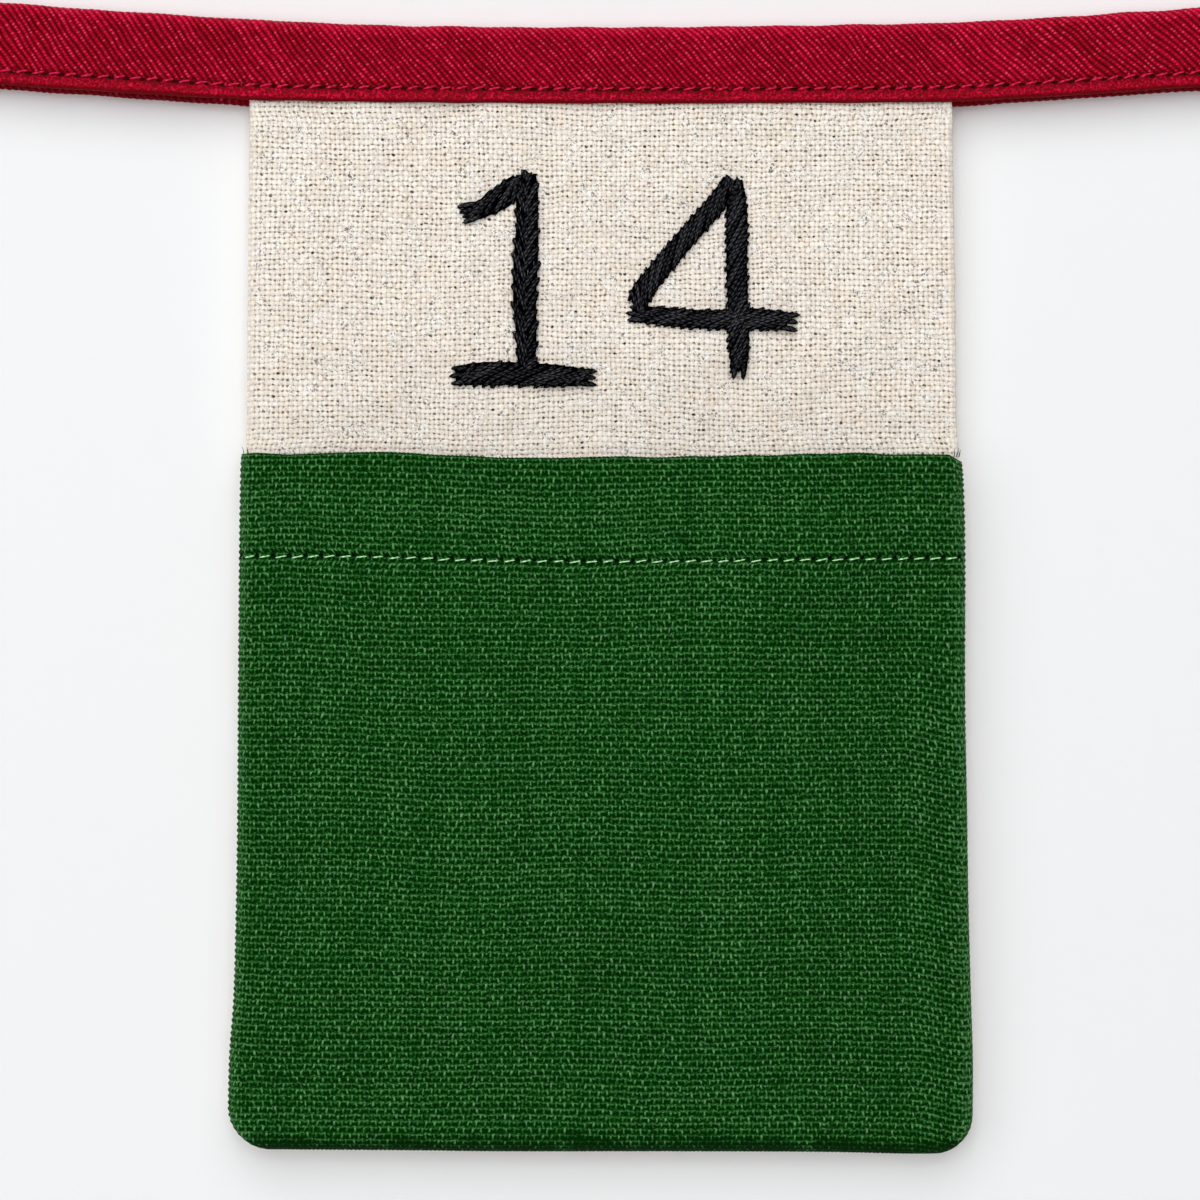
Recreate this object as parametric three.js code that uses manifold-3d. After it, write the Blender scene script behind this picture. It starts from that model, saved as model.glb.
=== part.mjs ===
// Advent calendar bunting: one numbered pocket on its stretch of twill binding tape.
// Millimetres, +Z up, +X along the tape. The front faces -Y.
// The origin is the middle of the tape's top edge, which is what the bunting hangs from.
//
// Three pieces are cut and sewn: the folded tape, the linen back panel that it grips, and the
// canvas pocket front, whose hemmed top edge stands a little open.

import * as THREE from "three";
import { mergeVertices } from "three/addons/utils/BufferGeometryUtils.js";
import Module from "manifold-3d";

// ---------------------------------------------------------------- driving dimensions

const CLOTH = 1; // thickness of every cloth layer
const GAP = 0.3; // air between layers and between pieces

// Each row is one place along the tape, seen from the front.
// top: height of the top edge; front: width of the front leg; back: width of the back leg.
const TAPE_LINE = [
  { x: -113, top: 5.6, front: 12.9, back: 13.6 },
  { x: -93, top: 3.9, front: 12.9, back: 13.6 },
  { x: -70, top: 2.2, front: 12.6, back: 13.5 },
  { x: -54, top: 1.2, front: 12.5, back: 13.6 },
  { x: -33, top: 0.3, front: 12.0, back: 12.8 },
  { x: 0, top: 0.0, front: 11.9, back: 12.6 },
  { x: 33, top: 0.3, front: 12.1, back: 12.8 },
  { x: 54, top: 0.7, front: 12.3, back: 13.3 },
  { x: 70, top: 1.5, front: 12.3, back: 13.2 },
  { x: 93, top: 3.0, front: 12.3, back: 13.1 },
  { x: 113, top: 4.2, front: 12.3, back: 13.1 },
];
const TAPE_STEP = 5.5; // length of one faceted stretch of tape
const TURN_IN = 6; // how far the tape's raw edges are turned up inside
const TOP_FOLD_HEIGHT = 1.8; // the tape's top fold is pressed flatter than a half circle

// Side edges of the linen panel, above the pocket's mouth.
const PANEL_SIDES = [
  { z: 0, left: -54.2, right: 54.4 },
  { z: -11, left: -54.3, right: 54.6 },
  { z: -35, left: -54.6, right: 55.0 },
  { z: -66, left: -54.9, right: 55.4 },
];
const PANEL_TOP_DROP = 1.4; // the panel's top edge lies this far under the tape's top edge
const TURNED_EDGE = 6; // width of the side allowances turned to the back
const TURNED_TOP = -13; // they are trimmed off just under the tape
const TURNED_FOOT = -65.6; // and end at the mouth of the pocket
const TURNED_LAP = 1; // the flat sheet laps the turned edges' ends by this much
const PANEL_INSET = 0.4; // the panel's edge lies this far inside the pocket front's edge

// Side edges of the canvas pocket front.
const POCKET_SIDES = [
  { z: -66, left: -55.5, right: 56.0 },
  { z: -79, left: -55.7, right: 56.4 },
  { z: -104, left: -55.9, right: 56.4 },
  { z: -121, left: -56.0, right: 56.7 },
  { z: -135, left: -56.2, right: 56.9 },
  { z: -150, left: -56.6, right: 57.3 },
  { z: -160, left: -57.3, right: 57.6 },
  { z: -175, left: -57.5, right: 57.5 },
];
// Mouth and bottom edge of the pocket front, from its left corner to its right one.
const POCKET_ENDS = [
  { x: -56, mouth: -66.1, foot: -173.7 },
  { x: -35, mouth: -66.2, foot: -173.8 },
  { x: -15, mouth: -66.8, foot: -174.0 },
  { x: 10, mouth: -66.9, foot: -174.0 },
  { x: 35, mouth: -66.6, foot: -174.1 },
  { x: 50, mouth: -66.4, foot: -174.4 },
  { x: 58, mouth: -66.4, foot: -174.1 },
];
const CORNER_LEFT = 6.5; // radius of the bottom left corner
const CORNER_RIGHT = 5.8; // radius of the bottom right corner
const HEM = 16.5; // depth of the hem turned down inside the mouth
const ROLL_REACH = 2.4; // width of the rounded edge, seen from the front
const ROLL_DEPTH = 3.2; // depth of the rounded edge
const SWELL = 4.2; // how far the pocket front stands out past its rounded edge
const SWELL_RISE = 60; // height over which the swell grows from the bottom edge
const SWELL_FLATNESS = 2.6; // power of the swell's curve across the pocket

// ---------------------------------------------------------------- helpers

// A smooth curve through one column of a table, by the rows' values of another column.
function through(rows, along, column) {
  const sorted = [...rows].sort((a, b) => a[along] - b[along]);
  const at = sorted.map((row) => row[along]);
  const value = sorted.map((row) => row[column]);
  const last = at.length - 1;
  const rise = (i, j) => (value[j] - value[i]) / (at[j] - at[i]);
  const slope = at.map((_, i) => rise(Math.max(0, i - 1), Math.min(last, i + 1)));
  return (x) => {
    if (x <= at[0]) return value[0];
    if (x >= at[last]) return value[last];
    const i = at.findIndex((a) => a > x) - 1;
    const width = at[i + 1] - at[i];
    const t = (x - at[i]) / width;
    const ease = t * t * (3 - 2 * t);
    const leave = width * slope[i] * t * (1 - t) ** 2;
    const arrive = width * slope[i + 1] * t * t * (t - 1);
    return value[i] + (value[i + 1] - value[i]) * ease + leave + arrive;
  };
}

// Evenly spaced values from one end to the other, both ends included.
function steps(from, to, count) {
  return Array.from({ length: count + 1 }, (_, i) => from + ((to - from) * i) / count);
}

// A closed geometry from points and triangles, turned so that its faces point outwards.
function closedGeometry(points, triangles) {
  let volume = 0;
  for (const [a, b, c] of triangles) {
    const normal = points[b].clone().cross(points[c]);
    volume += points[a].dot(normal);
  }
  const outward = volume > 0 ? triangles : triangles.map(([a, b, c]) => [a, c, b]);
  const geometry = new THREE.BufferGeometry().setFromPoints(points);
  geometry.setIndex(outward.flat());
  geometry.computeVertexNormals();
  return geometry;
}

// A solid from sections that each run round a closed loop, with the two end sections capped.
// outline holds a section's loop as flat 2-D points, which the caps are cut from.
function loft(sections, outline) {
  const around = outline.length;
  const points = sections.flat();
  const triangles = [];
  for (let i = 0; i + 1 < sections.length; i++) {
    for (let j = 0; j < around; j++) {
      const next = (j + 1) % around;
      const [a, b] = [i * around + j, i * around + next];
      const [c, d] = [a + around, b + around];
      triangles.push([a, b, d], [a, d, c]);
    }
  }
  const end = (sections.length - 1) * around;
  const turned = THREE.ShapeUtils.isClockWise(outline) ? -1 : 1;
  for (const [a, b, c] of THREE.ShapeUtils.triangulateShape(outline, [])) {
    const [p, q, r] = turned > 0 ? [a, b, c] : [a, c, b];
    triangles.push([p, r, q], [end + p, end + q, end + r]);
  }
  return closedGeometry(points, triangles);
}

// One solid from overlapping ones.
function joined(manifold, geometries) {
  const solids = geometries.map((geometry) => {
    const bare = new THREE.BufferGeometry();
    bare.setAttribute("position", geometry.getAttribute("position"));
    if (geometry.index) bare.setIndex(geometry.index);
    const merged = mergeVertices(bare, 1e-4);
    const vertProperties = merged.attributes.position.array;
    const triVerts = new Uint32Array(merged.index.array);
    return new manifold.Manifold(new manifold.Mesh({ numProp: 3, vertProperties, triVerts }));
  });
  const mesh = solids.reduce((whole, piece) => whole.add(piece)).getMesh();
  const geometry = new THREE.BufferGeometry();
  geometry.setAttribute("position", new THREE.BufferAttribute(mesh.vertProperties, 3));
  geometry.setIndex(new THREE.BufferAttribute(mesh.triVerts, 1));
  geometry.computeVertexNormals();
  return geometry;
}

function namedMesh(name, geometry, material) {
  const mesh = new THREE.Mesh(geometry, material);
  mesh.name = name;
  return mesh;
}

// ---------------------------------------------------------------- binding tape

const tapeTop = through(TAPE_LINE, "x", "top");
const tapeFront = through(TAPE_LINE, "x", "front");
const tapeBack = through(TAPE_LINE, "x", "back");

// Distances of the tape's layers from the middle of the panel that they grip.
const TURN_IN_INNER = CLOTH / 2 + GAP;
const TURN_IN_OUTER = TURN_IN_INNER + CLOTH;
const LEG_INNER = TURN_IN_OUTER + GAP;
const LEG_OUTER = LEG_INNER + CLOTH;

// The bottom fold of one leg, from its outer face round to its turned-in face.
// side is -1 in front and 1 behind; the radius is measured to the face that is drawn.
function bottomFold(side, width, radius) {
  const middle = (TURN_IN_OUTER + LEG_INNER) / 2;
  return steps(0, Math.PI, 6).map((turn) => {
    const y = side * (middle + radius * Math.cos(turn));
    return new THREE.Vector2(y, -width + CLOTH + GAP / 2 - radius * Math.sin(turn));
  });
}

// The top fold over the panel, from the front leg to the back leg.
function topFold(halfWidth, height) {
  return steps(0, Math.PI, 8).map((turn) => {
    const rise = -TOP_FOLD_HEIGHT + height * Math.sin(turn);
    return new THREE.Vector2(-halfWidth * Math.cos(turn), rise);
  });
}

// One cross-section of the folded tape, as (y, height under the top edge): the outer face from
// the front turn-in to the back one, then the inner face on the way back.
function tapeSection(front, back) {
  const wide = CLOTH + GAP / 2;
  const tight = GAP / 2;
  const turnInEnd = (width) => -width + CLOTH + TURN_IN;
  const frontEnd = turnInEnd(front);
  const backEnd = turnInEnd(back);
  return [
    new THREE.Vector2(-TURN_IN_INNER, frontEnd),
    ...bottomFold(-1, front, wide).reverse(),
    ...topFold(LEG_OUTER, TOP_FOLD_HEIGHT),
    ...bottomFold(1, back, wide),
    new THREE.Vector2(TURN_IN_INNER, backEnd),
    new THREE.Vector2(TURN_IN_OUTER, backEnd),
    ...bottomFold(1, back, tight).reverse(),
    ...topFold(LEG_INNER, TOP_FOLD_HEIGHT - CLOTH).reverse(),
    ...bottomFold(-1, front, tight),
    new THREE.Vector2(-TURN_IN_OUTER, frontEnd),
  ];
}

function bindingTape() {
  const ends = TAPE_LINE.map((row) => row.x);
  const first = Math.min(...ends);
  const last = Math.max(...ends);
  const places = steps(first, last, Math.round((last - first) / TAPE_STEP));
  const sections = places.map((x) =>
    tapeSection(tapeFront(x), tapeBack(x)).map(
      (p) => new THREE.Vector3(x, p.x, tapeTop(x) + p.y),
    ),
  );
  return loft(sections, tapeSection(tapeFront(first), tapeBack(first)));
}

// ---------------------------------------------------------------- outline of the pocket

const pocketLeft = through(POCKET_SIDES, "z", "left");
const pocketRight = through(POCKET_SIDES, "z", "right");
const pocketMouth = through(POCKET_ENDS, "x", "mouth");
const pocketFoot = through(POCKET_ENDS, "x", "foot");
const LEFT_FOOT = pocketFoot(pocketLeft(-170) + CORNER_LEFT);
const RIGHT_FOOT = pocketFoot(pocketRight(-170) - CORNER_RIGHT);

// How far a rounded corner draws a side in at height z.
function drawnIn(z, foot, radius, inset) {
  const below = foot + radius - z;
  const inner = radius - inset;
  return below <= 0 ? 0 : inner - Math.sqrt(Math.max(0, inner ** 2 - below ** 2));
}

// The pocket's left and right edge at height z, moved inwards by inset.
function pocketEdges(z, inset) {
  return {
    left: pocketLeft(z) + inset + drawnIn(z, LEFT_FOOT, CORNER_LEFT, inset),
    right: pocketRight(z) - inset - drawnIn(z, RIGHT_FOOT, CORNER_RIGHT, inset),
  };
}

// Distance from the pocket's sides and bottom edge to a point inside them.
function insideDistance(x, z, inset) {
  const corners = [
    { x: pocketLeft(z) + CORNER_LEFT, z: LEFT_FOOT + CORNER_LEFT, radius: CORNER_LEFT, side: -1 },
    {
      x: pocketRight(z) - CORNER_RIGHT,
      z: RIGHT_FOOT + CORNER_RIGHT,
      radius: CORNER_RIGHT,
      side: 1,
    },
  ];
  for (const corner of corners) {
    if ((x - corner.x) * corner.side > 0 && z < corner.z) {
      return corner.radius - inset - Math.hypot(x - corner.x, z - corner.z);
    }
  }
  return Math.min(x - pocketLeft(z), pocketRight(z) - x, z - pocketFoot(x)) - inset;
}

// ---------------------------------------------------------------- back panel

const panelLeft = through(PANEL_SIDES, "z", "left");
const panelRight = through(PANEL_SIDES, "z", "right");
const FOLD_RADIUS = CLOTH + GAP / 2; // outside of the fold at the panel's side edges
const FOLD_SEAT = FOLD_RADIUS + 0.5; // the flat sheet ends this far inside the folded edge

// The flat sheet: down the left side, round the bottom corners, up the right side and back
// along the top edge inside the tape.
function panelSheet() {
  const gripped = steps(0, TURNED_TOP - TURNED_LAP, 2).slice(1);
  const folded = steps(TURNED_TOP - TURNED_LAP, TURNED_FOOT + TURNED_LAP, 4);
  const lower = [
    ...steps(TURNED_FOOT, LEFT_FOOT + CORNER_LEFT, 8),
    ...steps(0, Math.PI / 2, 7)
      .slice(1)
      .map((turn) => LEFT_FOOT + CORNER_LEFT - (CORNER_LEFT - PANEL_INSET) * Math.sin(turn)),
  ];
  const top = (x) => tapeTop(x) - PANEL_TOP_DROP;
  const left = [
    ...gripped.map((z) => new THREE.Vector2(panelLeft(z), z)),
    ...folded.map((z) => new THREE.Vector2(panelLeft(z) + FOLD_SEAT, z)),
    ...lower.map((z) => new THREE.Vector2(pocketEdges(z, PANEL_INSET).left, z)),
  ];
  const right = [
    ...gripped.map((z) => new THREE.Vector2(panelRight(z), z)),
    ...folded.map((z) => new THREE.Vector2(panelRight(z) - FOLD_SEAT, z)),
    ...lower.map((z) => new THREE.Vector2(pocketEdges(z, PANEL_INSET).right, z)),
  ].reverse();
  const across = steps(panelRight(0), panelLeft(0), 12);
  const topEdge = across.map((x) => new THREE.Vector2(x, top(x)));
  const shape = new THREE.Shape([...left, ...right, ...topEdge]);
  const sheet = new THREE.ExtrudeGeometry(shape, { depth: CLOTH, bevelEnabled: false });
  return sheet.rotateX(Math.PI / 2).translate(0, CLOTH / 2, 0);
}

// A side edge of the panel: the sheet turned round to the back and laid flat there.
// side is -1 at the left and 1 at the right.
function turnedEdge(side) {
  const edge = side < 0 ? panelLeft : panelRight;
  const lap = 3; // the fold's front leg runs this far into the flat sheet
  const thinned = 0.2; // and gets thinner there, so that it ends inside the sheet
  const turns = steps(-Math.PI / 2, Math.PI / 2, 8);
  const fold = (radius) =>
    turns.map((turn) => new THREE.Vector2(-radius * Math.cos(turn), radius * Math.sin(turn)));
  // (distance in from the fold's middle, distance behind it)
  const outline = [
    new THREE.Vector2(lap, -FOLD_RADIUS + thinned),
    ...fold(FOLD_RADIUS),
    new THREE.Vector2(TURNED_EDGE, FOLD_RADIUS),
    new THREE.Vector2(TURNED_EDGE, GAP / 2),
    ...fold(GAP / 2).reverse(),
    new THREE.Vector2(lap, -GAP / 2 - thinned),
  ];
  const behind = CLOTH / 2 + GAP / 2;
  const sections = steps(TURNED_TOP, TURNED_FOOT, 6).map((z) =>
    outline.map((p) => {
      const x = edge(z) - side * (FOLD_RADIUS + p.x);
      return new THREE.Vector3(x, behind + p.y, z);
    }),
  );
  return loft(sections, outline);
}

function backPanel(manifold) {
  return joined(manifold, [panelSheet(), turnedEdge(-1), turnedEdge(1)]);
}

// ---------------------------------------------------------------- pocket front

const RIM = -(CLOTH / 2 + GAP); // the pocket front's edges meet the panel's face here

// A point of the pocket front at height z, inset from its face, at one column of the cloth.
// A column's share runs from -1 at the left edge to 1 at the right one, and its roll is how far
// the rounded edge has turned there: a quarter turn on the flat of the cloth, less outside it.
function pocketPoint(column, z, inset) {
  const { left, right } = pocketEdges(z, inset);
  const reach = Math.max(ROLL_REACH - inset, 0.1);
  const depth = ROLL_DEPTH - inset;
  const rolled = reach * (1 - Math.cos(column.roll));
  const x =
    column.share < 0
      ? THREE.MathUtils.lerp((left + right) / 2, left + rolled, -column.share)
      : THREE.MathUtils.lerp((left + right) / 2, right - rolled, column.share);
  const distance = Math.max(0, insideDistance(x, z, inset));
  const flat = Math.min(1, distance / reach);
  const roundness = Math.sqrt(1 - (1 - flat) ** 2);
  const halfWidth = (pocketRight(z) - pocketLeft(z)) / 2;
  const middle = (pocketRight(z) + pocketLeft(z)) / 2;
  const off = Math.min(1, Math.abs(x - middle) / halfWidth);
  const up = THREE.MathUtils.clamp((z - pocketFoot(x)) / SWELL_RISE, 0, 1);
  const swell = SWELL * (1 - off ** SWELL_FLATNESS) * (1 - (1 - up) ** 2);
  return new THREE.Vector3(x, RIM - roundness * (depth + swell), z);
}

// The columns of the cloth, from its left edge to its right one.
function pocketColumns() {
  const rolls = steps(0, Math.PI / 2, 5).slice(0, -1);
  const flats = steps(-1, 1, 16);
  return [
    ...rolls.map((roll) => ({ share: -1, roll })),
    ...flats.map((share) => ({ share, roll: Math.PI / 2 })),
    ...rolls.reverse().map((roll) => ({ share: 1, roll })),
  ];
}

// Heights of one face of the cloth from its bottom edge up to the start of the hem's fold, as
// shares of the pocket's height: close together round the bottom edge, then wider apart.
function pocketHeights(inset, top) {
  const reach = ROLL_REACH - inset;
  const foot = (x) => pocketFoot(x) + inset;
  const rolls = steps(0, Math.PI / 2, 5).map((roll) => reach * (1 - Math.cos(roll)));
  const corner = steps(reach, CORNER_LEFT, 3).slice(1);
  const heights = [...rolls, ...corner].map((rise) => (x) => foot(x) + rise);
  const body = steps(0, 1, 13).slice(1);
  return [
    ...heights,
    ...body.map((share) => (x) => THREE.MathUtils.lerp(foot(x) + CORNER_LEFT, top(x), share)),
  ];
}

// The rows of the cloth as one loop: up the face, over the fold, down the hem's face to its
// raw edge, up its back and down the back of the front layer.
// Each row gives its height at x and the two insets that it lies between.
function pocketRows() {
  const hemInner = 2 * CLOTH + GAP;
  const hemOuter = CLOTH + GAP;
  const foldRadius = hemInner / 2;
  const foldFoot = (x) => pocketMouth(x) - foldRadius;
  const hemFoot = (x) => pocketMouth(x) - HEM;
  const row = (inset, height) => ({ outer: inset, inner: inset, turn: 0, height });
  const fold = (outer, inner, count) =>
    steps(0, Math.PI, count)
      .slice(1, -1)
      .map((turn) => ({
        outer,
        inner,
        turn,
        height: (x) => foldFoot(x) + ((inner - outer) / 2) * Math.sin(turn),
      }));
  const hemSteps = steps(0, 1, 4);
  const hemRows = (inset) =>
    hemSteps.map((t) => row(inset, (x) => THREE.MathUtils.lerp(foldFoot(x), hemFoot(x), t)));
  return [
    ...pocketHeights(0, foldFoot).map((height) => row(0, height)),
    ...fold(0, hemInner, 8),
    ...hemRows(hemInner),
    ...hemRows(hemOuter).reverse(),
    ...fold(CLOTH, hemOuter, 4).reverse(),
    ...pocketHeights(CLOTH, foldFoot)
      .map((height) => row(CLOTH, height))
      .reverse(),
  ];
}

function pocketFront() {
  const rows = pocketRows();
  const columns = pocketColumns();
  const sections = columns.map((column) =>
    rows.map(({ outer, inner, turn, height }) => {
      const x = pocketPoint(column, height(0), outer).x;
      const z = height(x);
      const from = pocketPoint(column, z, outer);
      const to = pocketPoint(column, z, inner);
      return from.lerp(to, (1 - Math.cos(turn)) / 2);
    }),
  );
  const outline = rows.map(({ outer, inner, turn, height }) => {
    const inset = THREE.MathUtils.lerp(outer, inner, (1 - Math.cos(turn)) / 2);
    return new THREE.Vector2(inset, height(0));
  });
  return loft(sections, outline);
}

// ---------------------------------------------------------------- the bunting

function fabric(color, roughness) {
  return new THREE.MeshStandardMaterial({ color, roughness, metalness: 0 });
}

const manifold = await Module();
manifold.setup();

const bunting = new THREE.Group();
bunting.add(
  namedMesh("binding_tape", bindingTape(), fabric(0xa50f2d, 0.75)),
  namedMesh("back_panel", backPanel(manifold), fabric(0xece4d6, 0.85)),
  namedMesh("pocket_front", pocketFront(), fabric(0x1f6b2a, 0.85)),
);

export default bunting;
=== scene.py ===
"""Advent calendar bunting: one numbered pocket on its stretch of twill binding tape.

The cloths, seams and embroidery are dressed over the CAD frame, which is loaded first. Lengths in
the tables and in the shaping functions are millimetres; everything handed to Blender is metres.
"""

import math

import bmesh
import bpy
import numpy as np
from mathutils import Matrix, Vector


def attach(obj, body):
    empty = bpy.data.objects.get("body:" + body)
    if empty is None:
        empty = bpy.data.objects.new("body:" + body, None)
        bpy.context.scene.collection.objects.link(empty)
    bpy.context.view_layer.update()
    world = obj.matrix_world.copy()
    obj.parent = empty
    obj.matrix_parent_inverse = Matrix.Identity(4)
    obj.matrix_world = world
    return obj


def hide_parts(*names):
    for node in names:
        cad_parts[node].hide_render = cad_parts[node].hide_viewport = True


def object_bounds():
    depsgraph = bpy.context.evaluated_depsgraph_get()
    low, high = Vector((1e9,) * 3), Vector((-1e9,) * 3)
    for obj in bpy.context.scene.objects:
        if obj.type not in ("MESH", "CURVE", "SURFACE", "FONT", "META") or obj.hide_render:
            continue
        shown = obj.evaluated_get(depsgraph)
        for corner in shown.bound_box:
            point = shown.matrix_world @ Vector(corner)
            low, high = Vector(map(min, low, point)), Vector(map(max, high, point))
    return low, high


bl_info = {
    "name": "Advent Calendar Bunting",
    "version": (1, 0, 0),
    "blender": (4, 5, 0),
    "location": "3D View > Sidebar > Bunting",
    "description": "Makes one numbered, embroidered pocket of an advent calendar bunting",
    "category": "Object",
}

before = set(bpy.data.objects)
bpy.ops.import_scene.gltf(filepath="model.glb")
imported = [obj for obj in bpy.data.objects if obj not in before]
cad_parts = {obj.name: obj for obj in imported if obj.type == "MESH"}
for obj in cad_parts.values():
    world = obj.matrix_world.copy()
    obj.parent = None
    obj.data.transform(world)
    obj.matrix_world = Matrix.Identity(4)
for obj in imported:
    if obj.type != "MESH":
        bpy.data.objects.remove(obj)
CAD_LOW, CAD_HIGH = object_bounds()

MM = 0.001  # a millimetre, in Blender's metres


def table(columns, *rows):
    """Rows of values, each a dictionary by the names of its columns."""
    return [dict(zip(columns.split(), row)) for row in rows]


# ---------------------------------------------------------------- sizes shared with the CAD

# Each row is one place along the tape, seen from the front.
# top: height of the top edge; front: width of the front leg; back: width of the back leg.
TAPE_LINE = table(
    "x top front back",
    (-113, 5.6, 12.9, 13.3),
    (-93, 3.9, 12.9, 13.3),
    (-70, 2.2, 12.6, 13.1),
    (-54, 1.2, 12.5, 13.3),
    (-33, 0.3, 12.0, 12.8),
    (0, 0.0, 11.9, 12.6),
    (33, 0.3, 12.1, 12.8),
    (54, 0.7, 12.3, 12.8),
    (70, 1.5, 12.3, 12.6),
    (93, 3.0, 12.3, 12.6),
    (113, 4.2, 12.3, 12.6),
)
TURN_IN = 6  # how far the tape's raw edges are turned up inside

# Side edges of the linen panel, above the pocket's mouth.
PANEL_SIDES = table(
    "z left right",
    (0, -54.2, 54.4),
    (-11, -54.3, 54.6),
    (-35, -54.6, 55.0),
    (-66, -54.9, 55.4),
)
PANEL_TOP_DROP = 1.4  # the panel's top edge lies this far under the tape's top edge
TURNED_EDGE = 6  # width of the side allowances turned to the back
TURNED_TOP = -13  # they are trimmed off just under the tape
TURNED_FOOT = -65.3  # and end at the mouth of the pocket
PANEL_INSET = 0.4  # the panel's edge lies this far inside the pocket front's edge

# Side edges of the canvas pocket front.
POCKET_SIDES = table(
    "z left right",
    (-66, -55.5, 56.0),
    (-79, -55.7, 56.4),
    (-104, -55.9, 56.4),
    (-121, -56.0, 56.7),
    (-135, -56.2, 56.9),
    (-150, -56.6, 57.3),
    (-160, -57.3, 57.6),
    (-175, -57.5, 57.5),
)
# Mouth and bottom edge of the pocket front, from its left corner to its right one.
POCKET_ENDS = table(
    "x mouth foot",
    (-56, -66.1, -173.7),
    (-35, -66.2, -173.8),
    (-15, -66.8, -174.0),
    (10, -66.9, -174.0),
    (35, -66.6, -174.1),
    (50, -66.4, -174.4),
    (58, -66.4, -174.1),
)
CORNER_LEFT = 6.5  # radius of the bottom left corner
CORNER_RIGHT = 5.8  # radius of the bottom right corner
HEM = 16.5  # depth of the hem turned down inside the mouth
ROLL_REACH = 2.4  # width of the rounded edge, seen from the front
ROLL_DEPTH = 3.2  # depth of the rounded edge
SWELL = 4.2  # how far the pocket front stands out past its rounded edge
SWELL_RISE = 60  # height over which the swell grows from the bottom edge
SWELL_FLATNESS = 2.6  # power of the swell's curve across the pocket

# ---------------------------------------------------------------- thicknesses of the real cloths

AIR = 0.15  # between layers that lie on each other
TAPE_THICK = 0.48  # thickness of the tape's twill
PANEL_HALF = 0.4  # half of the linen's thickness; its middle is at y = 0
POCKET_THICK = 0.9  # thickness of the pocket's canvas
HEM_RADIUS = POCKET_THICK + AIR / 2  # outside of the fold at the pocket's mouth
POCKET_RIM = -(PANEL_HALF + 0.2)  # the pocket front's edges meet the panel's face here

TAPE_STITCH_RISE = 2.3  # height of the stitch line over the tape's front bottom edge
LOW_RIBS = 1.8  # under that line there are this many ribs for one above it
HOOK_REACH = 0.9  # and they hook over by this many ribs

# ---------------------------------------------------------------- curves and wander


def through(rows, along, column):
    """A smooth curve through one column of a table, by the rows' values of another column."""
    ordered = sorted(rows, key=lambda row: row[along])
    at = np.array([row[along] for row in ordered], float)
    value = np.array([row[column] for row in ordered], float)
    before = np.maximum(np.arange(len(at)) - 1, 0)
    after = np.minimum(np.arange(len(at)) + 1, len(at) - 1)
    slope = (value[after] - value[before]) / (at[after] - at[before])

    def curve(x):
        x = np.clip(np.asarray(x, float), at[0], at[-1])
        i = np.clip(np.searchsorted(at, x, side="right") - 1, 0, len(at) - 2)
        width = at[i + 1] - at[i]
        t = (x - at[i]) / width
        ease = t * t * (3 - 2 * t)
        leave = width * slope[i] * t * (1 - t) ** 2
        arrive = width * slope[i + 1] * t * t * (t - 1)
        return value[i] + (value[i + 1] - value[i]) * ease + leave + arrive

    return curve


def smooth(low, high, x):
    """0 at low, 1 at high, and smooth in between."""
    t = np.clip((np.asarray(x, float) - low) / (high - low), 0, 1)
    return t * t * (3 - 2 * t)


def mix(a, b, share):
    """The value at a share of the way from a to b."""
    return a + (b - a) * share


def wander(x, z, size, seed):
    """A smooth wave without a visible period, about -1 to 1, over distances of about size."""
    dice = np.random.default_rng(seed)
    total = np.zeros(np.broadcast(x, z).shape)
    waves = 7
    for _ in range(waves):
        heading = dice.uniform(0, 2 * math.pi)
        turn = 2 * math.pi / (size * dice.uniform(0.7, 1.6))
        start = dice.uniform(0, 2 * math.pi)
        total += np.sin(turn * (x * math.cos(heading) + z * math.sin(heading)) + start)
    return total / math.sqrt(waves)


def dice_of(i, j, seed):
    """An even random number from 0 to 1 for each pair of whole numbers."""
    i = np.asarray(i).astype(np.int64)
    j = np.asarray(j).astype(np.int64)
    mixed = (i * 374761393 + j * 668265263 + seed * 974634777) & 0xFFFFFFFF
    mixed = ((mixed ^ (mixed >> 13)) * 1274126177) & 0xFFFFFFFF
    return ((mixed ^ (mixed >> 16)) & 0xFFFF) / 65535.0


def plain_weave_height(u, v):
    """Height of a plain weave's surface, from about 0.1 in its holes to 1 on its crowns.

    u counts warps and v wefts.
    """
    sign = np.where((np.floor(u) + np.floor(v)) % 2 < 0.5, 1.0, -1.0)
    across = u - np.floor(u) - 0.5
    along = v - np.floor(v) - 0.5
    warp = np.sqrt(np.maximum(0, 1 - (across / 0.52) ** 2)) + sign * np.cos(math.pi * along)
    weft = np.sqrt(np.maximum(0, 1 - (along / 0.52) ** 2)) - sign * np.cos(math.pi * across)
    return np.maximum(warp, weft) / 2


tape_top = through(TAPE_LINE, "x", "top")
tape_front = through(TAPE_LINE, "x", "front")
tape_back = through(TAPE_LINE, "x", "back")
panel_left = through(PANEL_SIDES, "z", "left")
panel_right = through(PANEL_SIDES, "z", "right")
pocket_left = through(POCKET_SIDES, "z", "left")
pocket_right = through(POCKET_SIDES, "z", "right")
pocket_mouth = through(POCKET_ENDS, "x", "mouth")
pocket_foot = through(POCKET_ENDS, "x", "foot")
LEFT_FOOT = float(pocket_foot(pocket_left(-170) + CORNER_LEFT))
RIGHT_FOOT = float(pocket_foot(pocket_right(-170) - CORNER_RIGHT))


def drawn_in(z, foot, radius, inset):
    """How far a rounded corner draws a side in at height z."""
    below = foot + radius - z
    inner = radius - inset
    curve = inner - np.sqrt(np.maximum(0, inner**2 - np.maximum(below, 0) ** 2))
    return np.where(below <= 0, 0, curve)


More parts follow.
